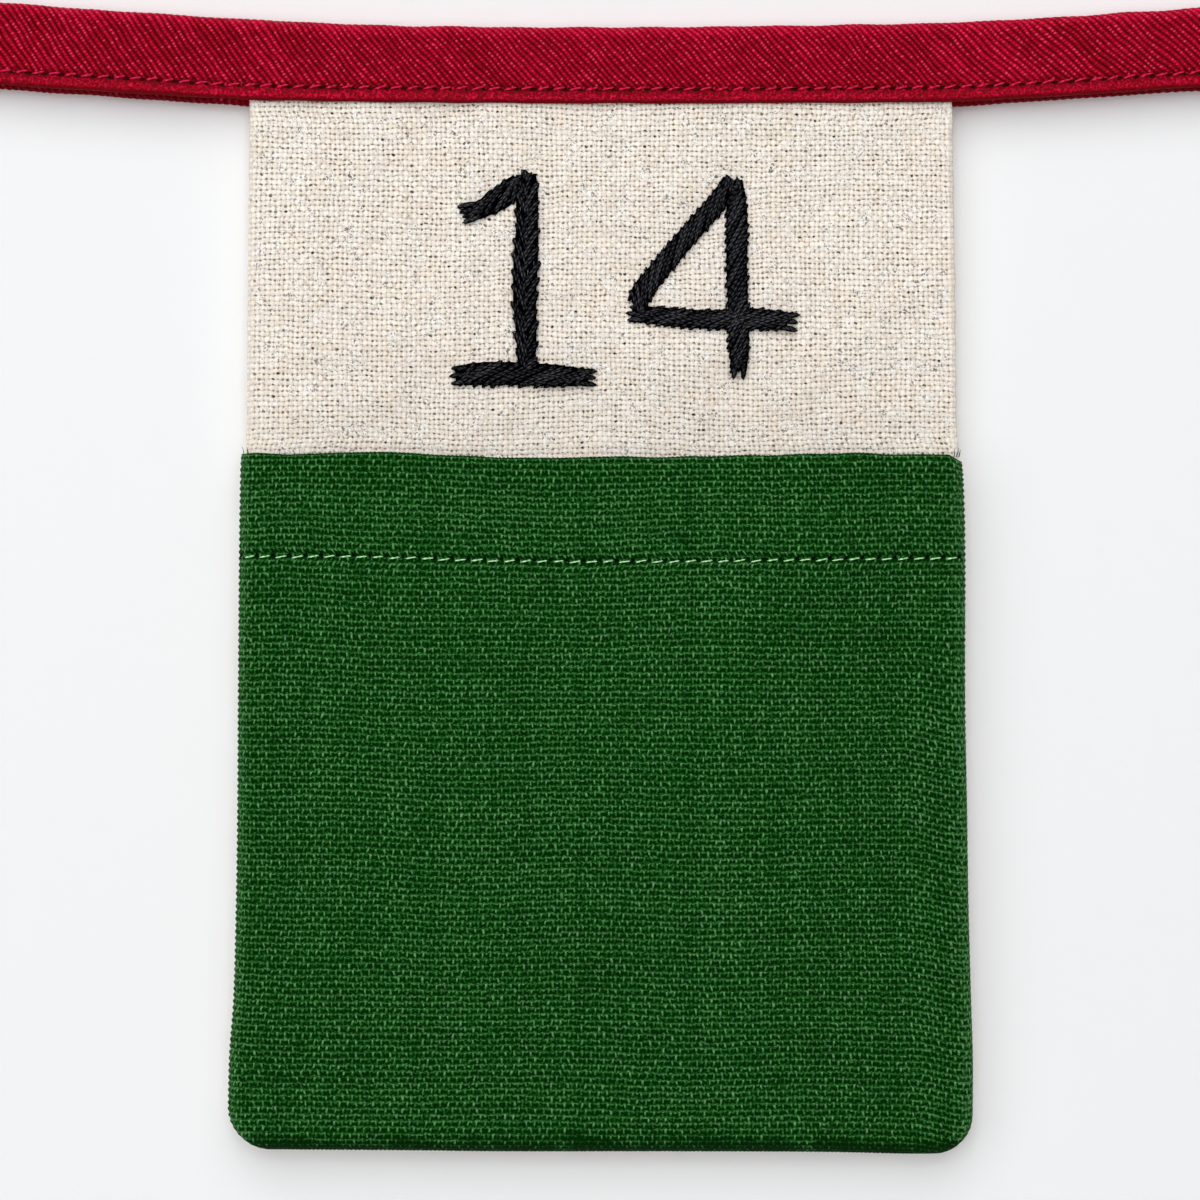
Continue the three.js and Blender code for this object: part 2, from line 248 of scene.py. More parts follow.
def pocket_edges(z, inset):
    """The pocket's left and right edge at height z, moved inwards by inset."""
    left = pocket_left(z) + inset + drawn_in(z, LEFT_FOOT, CORNER_LEFT, inset)
    right = pocket_right(z) - inset - drawn_in(z, RIGHT_FOOT, CORNER_RIGHT, inset)
    return left, right


def inside_distance(x, z, inset):
    """Distance from the pocket's sides and bottom edge to a point inside them."""
    sides = np.minimum(x - pocket_left(z), pocket_right(z) - x)
    distance = np.minimum(sides, z - pocket_foot(x)) - inset
    corners = (
        (pocket_left(z) + CORNER_LEFT, LEFT_FOOT + CORNER_LEFT, CORNER_LEFT, -1),
        (pocket_right(z) - CORNER_RIGHT, RIGHT_FOOT + CORNER_RIGHT, CORNER_RIGHT, 1),
    )
    for corner_x, corner_z, radius, side in corners:
        beyond = ((x - corner_x) * side > 0) & (z < corner_z)
        round_distance = radius - inset - np.hypot(x - corner_x, z - corner_z)
        distance = np.where(beyond, round_distance, distance)
    return distance


def pocket_face(x, z, inset):
    """How far forward the pocket front's face lies, inset from its outside."""
    reach = ROLL_REACH - inset
    depth = ROLL_DEPTH - inset
    flat = np.clip(inside_distance(x, z, inset) / reach, 0, 1)
    roundness = np.sqrt(1 - (1 - flat) ** 2)
    half_width = (pocket_right(z) - pocket_left(z)) / 2
    middle = (pocket_right(z) + pocket_left(z)) / 2
    off = np.clip(np.abs(x - middle) / half_width, 0, 1)
    up = np.clip((z - pocket_foot(x)) / SWELL_RISE, 0, 1)
    swell = SWELL * (1 - off**SWELL_FLATNESS) * (1 - (1 - up) ** 2)
    return POCKET_RIM - roundness * (depth + swell)


# ---------------------------------------------------------------- making meshes


def joined(*columns):
    """Points, or rows of values, from arrays of their x, y and so on."""
    return np.stack(np.broadcast_arrays(*columns), axis=-1)


def shares_of(chain):
    """How far along a chain each of its points lies, from 0 to 1."""
    step = np.linalg.norm(np.diff(chain, axis=0), axis=1)
    length = np.concatenate([[0], np.cumsum(step)])
    return length / max(length[-1], 1e-9)


def along_path(path, share):
    """Points at given shares of a path's length."""
    at = shares_of(path)
    return joined(*(np.interp(share, at, column) for column in path.T))


def squares_to(points, towards):
    """Unit directions square to a patch of points, on the side that towards points to."""
    square = np.cross(np.gradient(points, axis=0), np.gradient(points, axis=1))
    size = np.linalg.norm(square, axis=-1, keepdims=True)
    square = np.where(size > 1e-6, square / np.maximum(size, 1e-6), 0)
    middle = square[square.shape[0] // 2, square.shape[1] // 2]
    return square if middle @ np.array(towards) > 0 else -square


def corners_of(mesh):
    """The number of the point at each corner of a mesh's faces."""
    corner = np.zeros(len(mesh.loops), np.int64)
    mesh.loops.foreach_get("vertex_index", corner)
    return corner


def add_map(mesh, name, values):
    """Gives a mesh a map of (u, v) pairs, one for each corner of its faces."""
    layer = mesh.uv_layers.new(name=name)
    layer.data.foreach_set("uv", values.astype(np.float32).ravel())


def add_edge_marks(mesh, values):
    """Marks each point of a mesh with its edge mark: the painted shade or painted light it gets."""
    marks = mesh.attributes.new("edge", "FLOAT", "POINT")
    marks.data.foreach_set("value", values.astype(np.float32))


class Cloth:
    """The corners, faces and maps of one piece, gathered patch by patch.

    threads counts the threads along and across. seams counts the stitches of the nearest line of
    stitching and gives the distance over it in millimetres. edge is 1 where a rolled or folded edge
    gets painted shade and -1 where it gets painted light; on the linen it only keeps holes and
    flecks off its folds and back.
    """

    def __init__(self):
        self.points = []
        self.threads = []
        self.seams = []
        self.edges = []
        self.faces = []
        self.count = 0

    def add(self, points, threads, seams=(0.0, 99.0), edge=0.0):
        """Adds a patch's points, in millimetres, and gives back their numbers."""
        shape = points.shape[:-1]
        number = np.arange(self.count, self.count + int(np.prod(shape))).reshape(shape)
        self.points.append(points.reshape(-1, 3))
        self.threads.append(np.broadcast_to(threads, shape + (2,)).reshape(-1, 2))
        self.seams.append(np.broadcast_to(seams, shape + (2,)).reshape(-1, 2))
        self.edges.append(np.broadcast_to(edge, shape).reshape(-1))
        self.count += number.size
        return number

    def grid(self, number):
        """Joins a patch's neighbouring points with four-sided faces."""
        quads = joined(number[:-1, :-1], number[:-1, 1:], number[1:, 1:], number[1:, :-1])
        self.faces += quads.reshape(-1, 4).tolist()

    def slanted_grid(self, number):
        """Joins a patch with triangles whose long sides run along the twill's ribs."""
        here, above = number[:-1, :-1], number[:-1, 1:]
        beside, across = number[1:, :-1], number[1:, 1:]
        self.faces += joined(here, above, beside).reshape(-1, 3).tolist()
        self.faces += joined(above, across, beside).reshape(-1, 3).tolist()

    def zip(self, one, other):
        """Joins two chains of points that run side by side, whatever their counts."""
        points = np.concatenate(self.points)
        ahead, behind = (shares_of(points[list(chain)]) for chain in (one, other))
        i = j = 0
        while i < len(one) - 1 or j < len(other) - 1:
            if j == len(other) - 1 or (i < len(one) - 1 and ahead[i + 1] <= behind[j + 1]):
                self.faces.append([one[i], one[i + 1], other[j]])
                i += 1
            else:
                self.faces.append([one[i], other[j + 1], other[j]])
                j += 1

    def piece(self, name):
        """The finished Blender object, welded, in metres, with its faces outwards."""
        points = np.concatenate(self.points) * MM
        mesh = bpy.data.meshes.new(name)
        mesh.from_pydata(points.tolist(), [], self.faces)
        corner = corners_of(mesh)
        for label, gathered in (("threads", self.threads), ("seams", self.seams)):
            add_map(mesh, label, np.concatenate(gathered)[corner])
        add_edge_marks(mesh, np.concatenate(self.edges))
        return finished(name, mesh)


def finished(name, mesh):
    """Welds a mesh, turns its faces outwards, shades it smooth and links it as an object."""
    shell = bmesh.new()
    shell.from_mesh(mesh)
    bmesh.ops.remove_doubles(shell, verts=shell.verts, dist=0.002 * MM)
    bmesh.ops.dissolve_degenerate(shell, edges=shell.edges, dist=0.001 * MM)
    bmesh.ops.recalc_face_normals(shell, faces=shell.faces)
    shell.to_mesh(mesh)
    shell.free()
    mesh.polygons.foreach_set("use_smooth", np.ones(len(mesh.polygons), bool))
    mesh.update()
    piece = bpy.data.objects.new(name, mesh)
    bpy.context.scene.collection.objects.link(piece)
    return piece


def tubes(lines, radii, sides):
    """Points and faces of many round strands: lines is strand by point, radii the same."""
    ahead = np.gradient(lines, axis=1)
    ahead /= np.linalg.norm(ahead, axis=2, keepdims=True)
    sideways = np.cross(ahead, np.array([0.0, 1.0, 0.0]))
    sideways /= np.maximum(np.linalg.norm(sideways, axis=2, keepdims=True), 1e-6)
    upwards = np.cross(sideways, ahead)
    turns = np.arange(sides) * 2 * math.pi / sides
    ring = (
        sideways[:, :, None, :] * np.cos(turns)[:, None]
        + upwards[:, :, None, :] * np.sin(turns)[:, None]
    )
    return lines[:, :, None, :] + ring * radii[:, :, None, None]


def strand_piece(name, lines, radii, sides, twist, shades=None):
    """One object of many closed strands. Its threads map runs along and round each strand.

    twist is how often a strand turns in a millimetre, and shades holds the painted shade of each
    strand at each of its points, from 0 to 1.
    """
    points = tubes(lines, np.broadcast_to(radii, lines.shape[:2]), sides)
    strands, rings = lines.shape[:2]
    number = np.arange(strands * rings * sides).reshape(strands, rings, sides)
    near, far = number[:, :-1], number[:, 1:]
    quads = joined(near, np.roll(near, -1, axis=2), np.roll(far, -1, axis=2), far).reshape(-1, 4)
    faces = quads.tolist() + number[:, 0, ::-1].tolist() + number[:, -1].tolist()
    mesh = bpy.data.meshes.new(name)
    mesh.from_pydata((points.reshape(-1, 3) * MM).tolist(), [], faces)
    steps = np.linalg.norm(np.diff(lines, axis=1), axis=2)
    along = np.concatenate([np.zeros((strands, 1)), np.cumsum(steps, axis=1)], axis=1)
    offset = np.arange(strands)[:, None] * 7.31
    thread = np.zeros((strands, rings, sides, 2))
    thread[..., 0] = (along * twist + offset)[:, :, None]
    thread[..., 1] = (np.arange(sides) / sides)[None, None, :]
    uv = thread.reshape(-1, 2)[corners_of(mesh)]
    first = len(quads) * 4
    seam = uv[:first].reshape(-1, 4, 2)
    wraps = (seam[:, :, 1].max(1) - seam[:, :, 1].min(1)) > 0.5
    seam[wraps, :, 1] = np.where(seam[wraps, :, 1] < 0.5, seam[wraps, :, 1] + 1, seam[wraps, :, 1])
    add_map(mesh, "threads", uv)
    if shades is not None:
        add_edge_marks(mesh, np.repeat(shades.ravel(), sides))
    return finished(name, mesh)


# ---------------------------------------------------------------- node helpers


class Wire:
    """A value on its way between shader nodes: sums written on it add Math nodes."""

    def __init__(self, tree, socket):
        self.tree = tree
        self.socket = socket

    def math(self, operation, *others):
        """The result of a Math node on this value and others."""
        node = new_node(self.tree, "ShaderNodeMath")
        node.operation = operation
        for slot, value in enumerate((self, *others)):
            plug(self.tree, value, node.inputs[slot])
        return Wire(self.tree, node.outputs[0])

    def __add__(self, other):
        return self.math("ADD", other)

    def __sub__(self, other):
        return self.math("SUBTRACT", other)

    def __mul__(self, other):
        return self.math("MULTIPLY", other)

    def __pow__(self, other):
        return self.math("POWER", other)

    def swing(self, amount):
        """A random value from 0 to 1, moved to lie about 0 and scaled."""
        return (self - 0.5) * amount

    def less_than_one(self):
        """One minus this value, kept from 0 to 1."""
        node = new_node(self.tree, "ShaderNodeMath")
        node.operation = "SUBTRACT"
        node.use_clamp = True
        node.inputs[0].default_value = 1
        plug(self.tree, self, node.inputs[1])
        return Wire(self.tree, node.outputs[0])

    def between(self, low, high):
        """0 where this value is low, 1 where it is high, and smooth in between."""
        node = new_node(self.tree, "ShaderNodeMapRange")
        node.interpolation_type = "SMOOTHSTEP"
        plug(self.tree, self, node.inputs["Value"])
        plug(self.tree, low, node.inputs["From Min"])
        plug(self.tree, high, node.inputs["From Max"])
        return Wire(self.tree, node.outputs["Result"])


def new_node(tree, kind):
    """A new node, set down in rows of twelve so that the tree can be read."""
    node = tree.nodes.new(kind)
    place = len(tree.nodes)
    node.location = (place % 12 * 200, -(place // 12) * 260)
    return node


def plug(tree, value, socket):
    """Links a wire to a socket, or sets the socket to a number or colour."""
    if isinstance(value, Wire):
        tree.links.new(value.socket, socket)
    elif value is not None:
        socket.default_value = value


def pair(tree, x, y, z=0.0):
    """A vector of two or three values."""
    node = new_node(tree, "ShaderNodeCombineXYZ")
    for value, socket in zip((x, y, z), node.inputs):
        plug(tree, value, socket)
    return Wire(tree, node.outputs[0])


def parts(vector):
    """The three values of a vector."""
    node = new_node(vector.tree, "ShaderNodeSeparateXYZ")
    plug(vector.tree, vector, node.inputs[0])
    return [Wire(vector.tree, socket) for socket in node.outputs]


def noise(vector, scale, detail, roughness=0.5, output="Fac"):
    """Soft noise; its value is about 0.5 on average."""
    node = new_node(vector.tree, "ShaderNodeTexNoise")
    plug(vector.tree, vector, node.inputs["Vector"])
    plug(vector.tree, scale, node.inputs["Scale"])
    node.inputs["Detail"].default_value = detail
    node.inputs["Roughness"].default_value = roughness
    return Wire(vector.tree, node.outputs[output])


def lottery(vector):
    """An even random number from 0 to 1 for each different vector."""
    node = new_node(vector.tree, "ShaderNodeTexWhiteNoise")
    node.noise_dimensions = "3D"
    plug(vector.tree, vector, node.inputs["Vector"])
    return Wire(vector.tree, node.outputs["Value"])


def blend(share, a, b):
    """Colour a where share is 0, colour b where it is 1."""
    tree = share.tree
    node = new_node(tree, "ShaderNodeMix")
    node.data_type = "RGBA"
    plug(tree, share, node.inputs["Factor"])
    plug(tree, rgba(a), node.inputs["A"])
    plug(tree, rgba(b), node.inputs["B"])
    return Wire(tree, node.outputs["Result"])


def rgba(colour):
    """A colour with full cover; a wire is left as it is."""
    return colour if isinstance(colour, Wire) else (*tuple(colour)[:3], 1.0)


def dot_at(u, v, half_u, half_v):
    """A soft round spot: 1 at the middle of u and v and 0 beyond the half sizes."""
    far = (u.math("DIVIDE", half_u) ** 2.0) + (v.math("DIVIDE", half_v) ** 2.0)
    return far.between(1.0, 0.0)


def linear(red, green, blue):
    """A colour written as it shows on a screen, from 0 to 255, as Blender counts light."""
    shown = np.array([red, green, blue]) / 255
    light = np.where(shown <= 0.04045, shown / 12.92, ((shown + 0.055) / 1.055) ** 2.4)
    return tuple(round(float(value), 4) for value in light)


def effect(name, vectors, values, build):
    """A shader node group, built once and shared.

    vectors names its vector inputs, and values its plain ones with their defaults. build turns
    the inputs into the outputs by name, which are all plain values.
    """
    if name in bpy.data.node_groups:
        return bpy.data.node_groups[name]
    tree = bpy.data.node_groups.new(name, "ShaderNodeTree")
    for label in vectors:
        tree.interface.new_socket(label, in_out="INPUT", socket_type="NodeSocketVector")
    for label, value in values.items():
        socket = tree.interface.new_socket(label, in_out="INPUT", socket_type="NodeSocketFloat")
        socket.default_value = value
    entry = new_node(tree, "NodeGroupInput")
    made = build({socket.name: Wire(tree, socket) for socket in entry.outputs if socket.name})
    for label in made:
        tree.interface.new_socket(label, in_out="OUTPUT", socket_type="NodeSocketFloat")
    leave = new_node(tree, "NodeGroupOutput")
    for label, value in made.items():
        plug(tree, value, leave.inputs[label])
    return tree


def use(tree, group, **values):
    """Places a node group and gives back its outputs. Underscores stand for spaces."""
    node = new_node(tree, "ShaderNodeGroup")
    node.node_tree = group
    for label, value in values.items():
        plug(tree, value, node.inputs[label.replace("_", " ")])
    return {socket.name: Wire(tree, socket) for socket in node.outputs}


def new_material(name):
    """An empty material with a Principled shader, and its node tree."""
    material = bpy.data.materials.new(name)
    material.use_nodes = True
    tree = material.node_tree
    tree.nodes.clear()
    shader = tree.nodes.new("ShaderNodeBsdfPrincipled")
    shader.location = (2600, 0)
    output = tree.nodes.new("ShaderNodeOutputMaterial")
    output.location = (2900, 0)
    tree.links.new(shader.outputs["BSDF"], output.inputs["Surface"])
    return material, tree, shader


def coat(tree, shader, colour, roughness, specular, normal=None, metallic=0.0):
    """Sets a Principled shader's inputs."""
    plug(tree, colour, shader.inputs["Base Color"])
    plug(tree, roughness, shader.inputs["Roughness"])
    plug(tree, specular, shader.inputs["Specular IOR Level"])
    plug(tree, normal, shader.inputs["Normal"])
    plug(tree, metallic, shader.inputs["Metallic"])


def map_of(tree, name):
    """One of the piece's own maps. threads counts its threads. seams counts the stitches along
    its line of stitching, and gives the distance over that line in millimetres."""
    node = new_node(tree, "ShaderNodeUVMap")
    node.uv_map = name
    return Wire(tree, node.outputs["UV"])


def edge_of(tree):
    """The piece's own mark of its edges: 1 for painted shade, -1 for painted light, 0 on plain
    cloth.
    """
    node = new_node(tree, "ShaderNodeAttribute")
    node.attribute_name = "edge"
    return Wire(tree, node.outputs["Fac"])


def place_of(tree):
    """The point's place in the part, in metres."""
    node = new_node(tree, "ShaderNodeTexCoord")
    return Wire(tree, node.outputs["Object"])


def bump(tree, height, distance, strength):
    """The lean of a surface whose height in metres is distance times height."""
    node = new_node(tree, "ShaderNodeBump")
    node.inputs["Distance"].default_value = distance
    node.inputs["Strength"].default_value = strength
    plug(tree, height, node.inputs["Height"])
    return Wire(tree, node.outputs["Normal"])


# ---------------------------------------------------------------- shared effects


def plain_weave_group():
    """Where a plain weave's threads, crossings and holes lie, and how high they stand."""

    def build(given):
        threads = given["Threads"]
        tree = threads.tree
        sway = noise(threads, given["Sway Scale"], 3.0, 0.6, output="Color")
        sway_u, sway_v, _ = parts(sway)
        u, v, _ = parts(threads)
        v = v + sway_v.swing(given["Unevenness"])
        weft_number = v.math("FLOOR")
        weft_luck = lottery(pair(tree, weft_number, 2.0, 8.0))
        u = u + sway_u.swing(given["Unevenness"]) + weft_luck * given["Row Shift"]
        warp_number = u.math("FLOOR")
        warp_luck = lottery(pair(tree, warp_number, 5.0, 8.0))
        across = u - warp_number - 0.5
        along = v - weft_number - 0.5
        parity = (warp_number + weft_number).math("FLOORED_MODULO", 2.0)
        sign = parity * -2.0 + 1.0
        warp_round = round_thread(across, given["Warp Width"])
        weft_round = round_thread(along, given["Weft Width"])
        warp = warp_round + sign * (along * math.pi).math("COSINE")
        weft = weft_round - sign * (across * math.pi).math("COSINE")
        warp_over = (warp - weft).between(-0.25, 0.25)
        hole_place = pair(tree, (u + 0.5).math("FLOOR"), (v + 0.5).math("FLOOR"), 3.0)
        float_place = pair(tree, warp_number, weft_number, 5.0)
        return {
            "Height": warp.math("MAXIMUM", weft) * 0.5,
            "Warp Over": warp_over,
            "Thread Chance": weft_luck + (warp_luck - weft_luck) * warp_over,
            "Hole Across": u - (u + 0.5).math("FLOOR"),
            "Hole Along": v - (v + 0.5).math("FLOOR"),
            "Side": sign,
            "Across": across,
            "Along": along,
            "Hole Chance": lottery(hole_place),
            "Float Chance": lottery(float_place),
        }

    values = {
        "Unevenness": 0.5, "Sway Scale": 0.45, "Warp Width": 1.0, "Weft Width": 1.0, "Row Shift": 0.0
    }
    return effect("plain_weave", ["Threads"], values, build)


def round_thread(offset, width):
    """The rounded top of a thread, 1 at its middle and 0 from its sides outwards."""
    out = offset.math("DIVIDE", width) * 2.0
    return (out * out).less_than_one().math("SQRT")


def twill_group():
    """Where a twill's slanting ribs and the beads along them lie, and how high they stand.

    Over is the height over the tape's stitch line, under which the ribs are finer and hooked.
    """

    def build(given):
        threads = given["Threads"]
        tree = threads.tree
        sway = noise(threads, 0.5, 3.0, 0.6, output="Color")
        sway_u, sway_v, _ = parts(sway)
        u, v, _ = parts(threads)
        low = given["Over"].math("LESS_THAN", 0.0)
        hook = (given["Over"] * (math.pi / TAPE_STITCH_RISE)).math("SINE") * HOOK_REACH
        across = u + v + low * (u * (LOW_RIBS - 1) - v + hook)
        across = across + sway_u.swing(given["Unevenness"]) * (low * 9.0 + 1.0)
        rib_number = across.math("FLOOR")
        offset = across - rib_number - 0.5
        rib = round_thread(offset, 1.0)
        start = lottery(pair(tree, rib_number, 1.0, 9.0))
        along = (v - u) * 0.5 * given["Beads"] + start * 7.0 + sway_v.swing(1.5)
        bead_number = along.math("FLOOR")
        bead_offset = along - bead_number - 0.5
        slant = offset + bead_offset * 0.15
        crown = slant.math("ABSOLUTE").between(0.4, 0.05)
        bead = bead_offset.math("ABSOLUTE").between(0.48, 0.12)
        return {
            "Height": rib * 0.7 + bead * rib * 0.3,
            "Groove": rib.between(0.8, 0.2),
            "Crown": crown,
            "Bead": bead,
            "Bead Chance": lottery(pair(tree, rib_number, bead_number, 2.0)),
            "Rib Chance": start,
        }

    values = {"Over": 99.0, "Unevenness": 0.5, "Beads": 3.1}
    return effect("twill_ribs", ["Threads"], values, build)


def fibre_group():
    """Fine, drawn-out fibre noise on a cloth, and its slow uneven shade."""

    def build(given):
        threads = given["Threads"]
        tree = threads.tree
        u, v, _ = parts(threads)
        upright = noise(pair(tree, u * 3.2, v * 1.3), 1.0, 2.0, 0.6)
        lying = noise(pair(tree, u * 1.3, v * 3.2), 1.0, 2.0, 0.6)
        turned = given["Warp Over"]
        fine = lying + (upright - lying) * turned
        place = given["Place"]
        slow = noise(place, given["Cloud Scale"], 3.0, 0.55)
        return {"Fibres": fine, "Clouds": slow}

    values = {"Warp Over": 0.5, "Cloud Scale": 60.0}
    return effect("cloth_fibres", ["Threads", "Place"], values, build)


def fleck_group():
    """Metallic yarn spun into a cloth: a painted white glint where it curls, and painted grey shade
    in arcs beside it.
    """

    def build(given):
        place = given["Place"]
        where = noise(place, given["Group Scale"], 2.0, 0.7)
        many = where.between(given["Rarity"], given["Rarity"] + 0.1)
        small = noise(place, given["Fleck Scale"] * 1.9, 1.0, 0.5)
        curl = noise(place, given["Fleck Scale"], 1.0, 0.5) - 0.5
        shown = small.between(0.46, 0.6) * (many * 0.65 + 0.3)
        glint = curl.math("ABSOLUTE").between(0.07, 0.03) * shown
        loop = (curl - 0.12).math("ABSOLUTE").between(0.07, 0.02) * shown
        return {"Glint": glint, "Loop": loop, "Group": many}

    values = {"Group Scale": 180.0, "Fleck Scale": 900.0, "Rarity": 0.5}
    return effect("metal_flecks", ["Place"], values, build)


def needle_group():
    """Where a line of machine stitches leaves needle holes and a groove, which take painted shade.
    """

    def build(given):
        tree = given["Seams"].tree
        count, over, _ = parts(given["Seams"])
        shifted = count + given["Shift"]
        number = (shifted + 0.5).math("FLOOR")
        along = (shifted - number) * given["Pitch"]
        luck = lottery(pair(tree, number, 4.0, 1.0))
        over = over + given["Drop"] + along * given["Slant"]
        long_hole = given["Hole Length"] * (luck * 0.5 + 0.75)
        hole = dot_at(along, over, long_hole, given["Hole Width"])
        groove = over.math("ABSOLUTE").between(given["Groove Width"], 0.0)
        return {"Hole": hole, "Groove": groove}

    values = {
        "Pitch": 2.52, "Shift": 0.0, "Drop": 0.0, "Slant": 0.0,
        "Hole Length": 0.6, "Hole Width": 0.25, "Groove Width": 0.8,
    }
    return effect("needle_line", ["Seams"], values, build)


def strand_group():
    """The plies and slanting fibres of a twisted strand, and the crown of its cross-section: its
    forward-facing side, which takes painted sheen.
    """

    def build(given):
        threads = given["Threads"]
        tree = threads.tree
        along, around, _ = parts(threads)
        ply = (along + around) * (2 * math.pi)
        twist = (ply * given["Plies"]).math("SINE") * 0.5 + 0.5
        fine = noise(pair(tree, (along + around) * 18.0, along * 2.0), 1.0, 2.0, 0.6)
        crown = (around * (-2 * math.pi)).math("SINE").between(-0.1, 0.95)
        return {"Twist": twist, "Fibres": fine, "Crown": crown}

    return effect("strand_twist", ["Threads"], {"Plies": 2.0}, build)


# ---------------------------------------------------------------- materials


def fuzz(tree):
    """The finest unevenness of a yarn, a noise of about 0.5 on average."""
    return noise(place_of(tree), 2400.0, 1.0)


def tape_twill(settings):
    """Red twill: slanting beaded ribs with painted shade in their grooves, and painted highlights
    and glints on their crowns.

    Under the line of stitches the ribs give way to a grain.
    """
    material, tree, shader = new_material("tape_twill")
    threads = map_of(tree, "threads")
    seams = map_of(tree, "seams")
    over = parts(seams)[1]
    needle = use(
        tree, needle_group(), Seams=seams, Shift=0.06, Drop=0.16, Slant=-0.12,
        Hole_Length=0.9, Hole_Width=0.36, Groove_Width=1.2,
    )
    twill = use(tree, twill_group(), Threads=threads, Over=over, Unevenness=0.25, Beads=3.0)
    fibres = use(
        tree, fibre_group(), Threads=threads, Place=place_of(tree), Warp_Over=0.5, Cloud_Scale=90.0
    )
    bead = twill["Bead"] * (twill["Bead Chance"] + 0.35)
    under = over.between(0.05, -0.15)
    # Painted highlight on the ribs' crowns and beads and painted shade in the grooves, over random
    # tones.
    tone = twill["Crown"] * (bead * 0.44 + 0.26) + fibres["Fibres"].swing(0.75)
    tone = tone + fuzz(tree).swing(0.7)
    tone = tone + twill["Rib Chance"].swing(0.2) + fibres["Clouds"].swing(0.35)
    grain = fuzz(tree).between(0.3, 0.76) * 0.82
    tone = tone + under * (grain - tone) * 0.85
    # Painted shade along the stitch groove and the bottom folds, painted light along the top fold.
    tone = tone - needle["Groove"] * 0.3 - edge_of(tree) * 0.6
    colour = blend(tone.between(-0.1, 0.5), settings.dark, settings.red)
    colour = blend(tone.between(0.35, 0.9), colour, settings.bright)
    # Painted glints on chosen beads, and on the brightest specks of the grain under the stitch line.
    painted_glints = twill["Bead Chance"].between(0.4, 1.0) * twill["Crown"] * twill["Bead"]
    painted_glints = painted_glints + under * (grain.between(0.65, 1.1) - painted_glints)
    colour = blend(painted_glints.between(0.25, 1.0) * 0.35, colour, settings.glint)
    # Painted shade in pits along the grooves.
    painted_pit_shade = twill["Groove"] * twill["Bead Chance"].between(0.6, 0.1) * (under * -0.7 + 1.0)
    colour = blend(painted_pit_shade * 0.75, colour, settings.deep)
    # Painted shade at the bottom folds and in the needle holes.
    colour = blend(edge_of(tree) * 0.75, colour, settings.dark)
    colour = blend(needle["Hole"].between(0.1, 0.8) * 0.9, colour, settings.deep)
    height = twill["Height"] + fibres["Fibres"] * 0.3
    height = height + under * (grain * 0.8 - height) * 0.8
    rough = fibres["Fibres"] * 0.3 + 0.4
    coat(tree, shader, colour, rough, 0.05, bump(tree, height, 0.00022, 0.8))
    return material


def panel_linen(settings):
    """Cream linen: a plain weave with a hole at each crossing and metallic flecks."""
    material, tree, shader = new_material("panel_linen")
    threads = map_of(tree, "threads")
    place = place_of(tree)
    weave = use(
        tree, plain_weave_group(), Threads=threads, Unevenness=0.75, Sway_Scale=0.5,
        Warp_Width=0.98, Weft_Width=0.98,
    )
    over = weave["Warp Over"]
    fibres = use(
        tree, fibre_group(), Threads=threads, Place=place, Warp_Over=over, Cloud_Scale=130.0
    )
    flecks = use(
        tree, fleck_group(), Place=place, Group_Scale=330.0, Fleck_Scale=1400.0, Rarity=0.5
    )
    plain = edge_of(tree).less_than_one()
    chance = weave["Hole Chance"]
    warm = fibres["Clouds"].between(0.35, 0.65)
    colour = blend(warm, settings.cream, settings.warm)
    shade = weave["Height"].between(1.0, 0.4) * 0.45 + fibres["Fibres"].between(0.7, 0.3) * 0.5
    shade = shade + weave["Thread Chance"].swing(0.25) + (over - 0.5) * 0.2 + fuzz(tree).swing(0.7)
    between_rows = weave["Along"].math("ABSOLUTE").between(0.25, 0.5)
    shade = shade + weave["Float Chance"].swing(0.2) + between_rows * 0.14
    colour = blend(shade.between(-0.1, 1.0), colour, settings.shade)
    colour = blend(flecks["Group"] * 0.18, colour, settings.cool)
    other = (chance * 17.0).math("FRACT")
    third = (chance * 89.0).math("FRACT")
    ragged = fibres["Fibres"].swing(0.4)
    hole_u = weave["Hole Across"] + other.swing(0.2) + ragged
    hole_v = weave["Hole Along"] + third.swing(0.2) - ragged
    wide = chance * 0.1 + 0.18
    dot = dot_at(hole_u, hole_v, wide * (other * 0.9 + 0.9), wide * (third * 0.5 + 0.8))
    covered = (flecks["Group"] * 0.35).less_than_one() * plain
    soft = dot.between(0.0, 0.8) * (other * 0.45 + 0.55) * covered
    colour = blend(soft, colour, settings.hole)
    deep = dot.between(0.4, 0.95) * chance.between(0.9, 0.99) * covered
    colour = blend(deep, colour, settings.deep)
    # Painted shade in grey arcs and a painted glint on the metallic flecks.
    colour = blend(flecks["Loop"] * plain, colour, settings.loop)
    colour = blend(flecks["Glint"] * 0.85 * plain, colour, settings.glint)
    height = weave["Height"] + fibres["Fibres"] * 0.35 + flecks["Glint"] * 0.4
    rough = flecks["Glint"] * -0.45 + 0.8
    lean = bump(tree, height, 0.00018, 0.6)
    coat(tree, shader, colour, rough, 0.15, lean, metallic=flecks["Glint"] * 0.15)
    return material


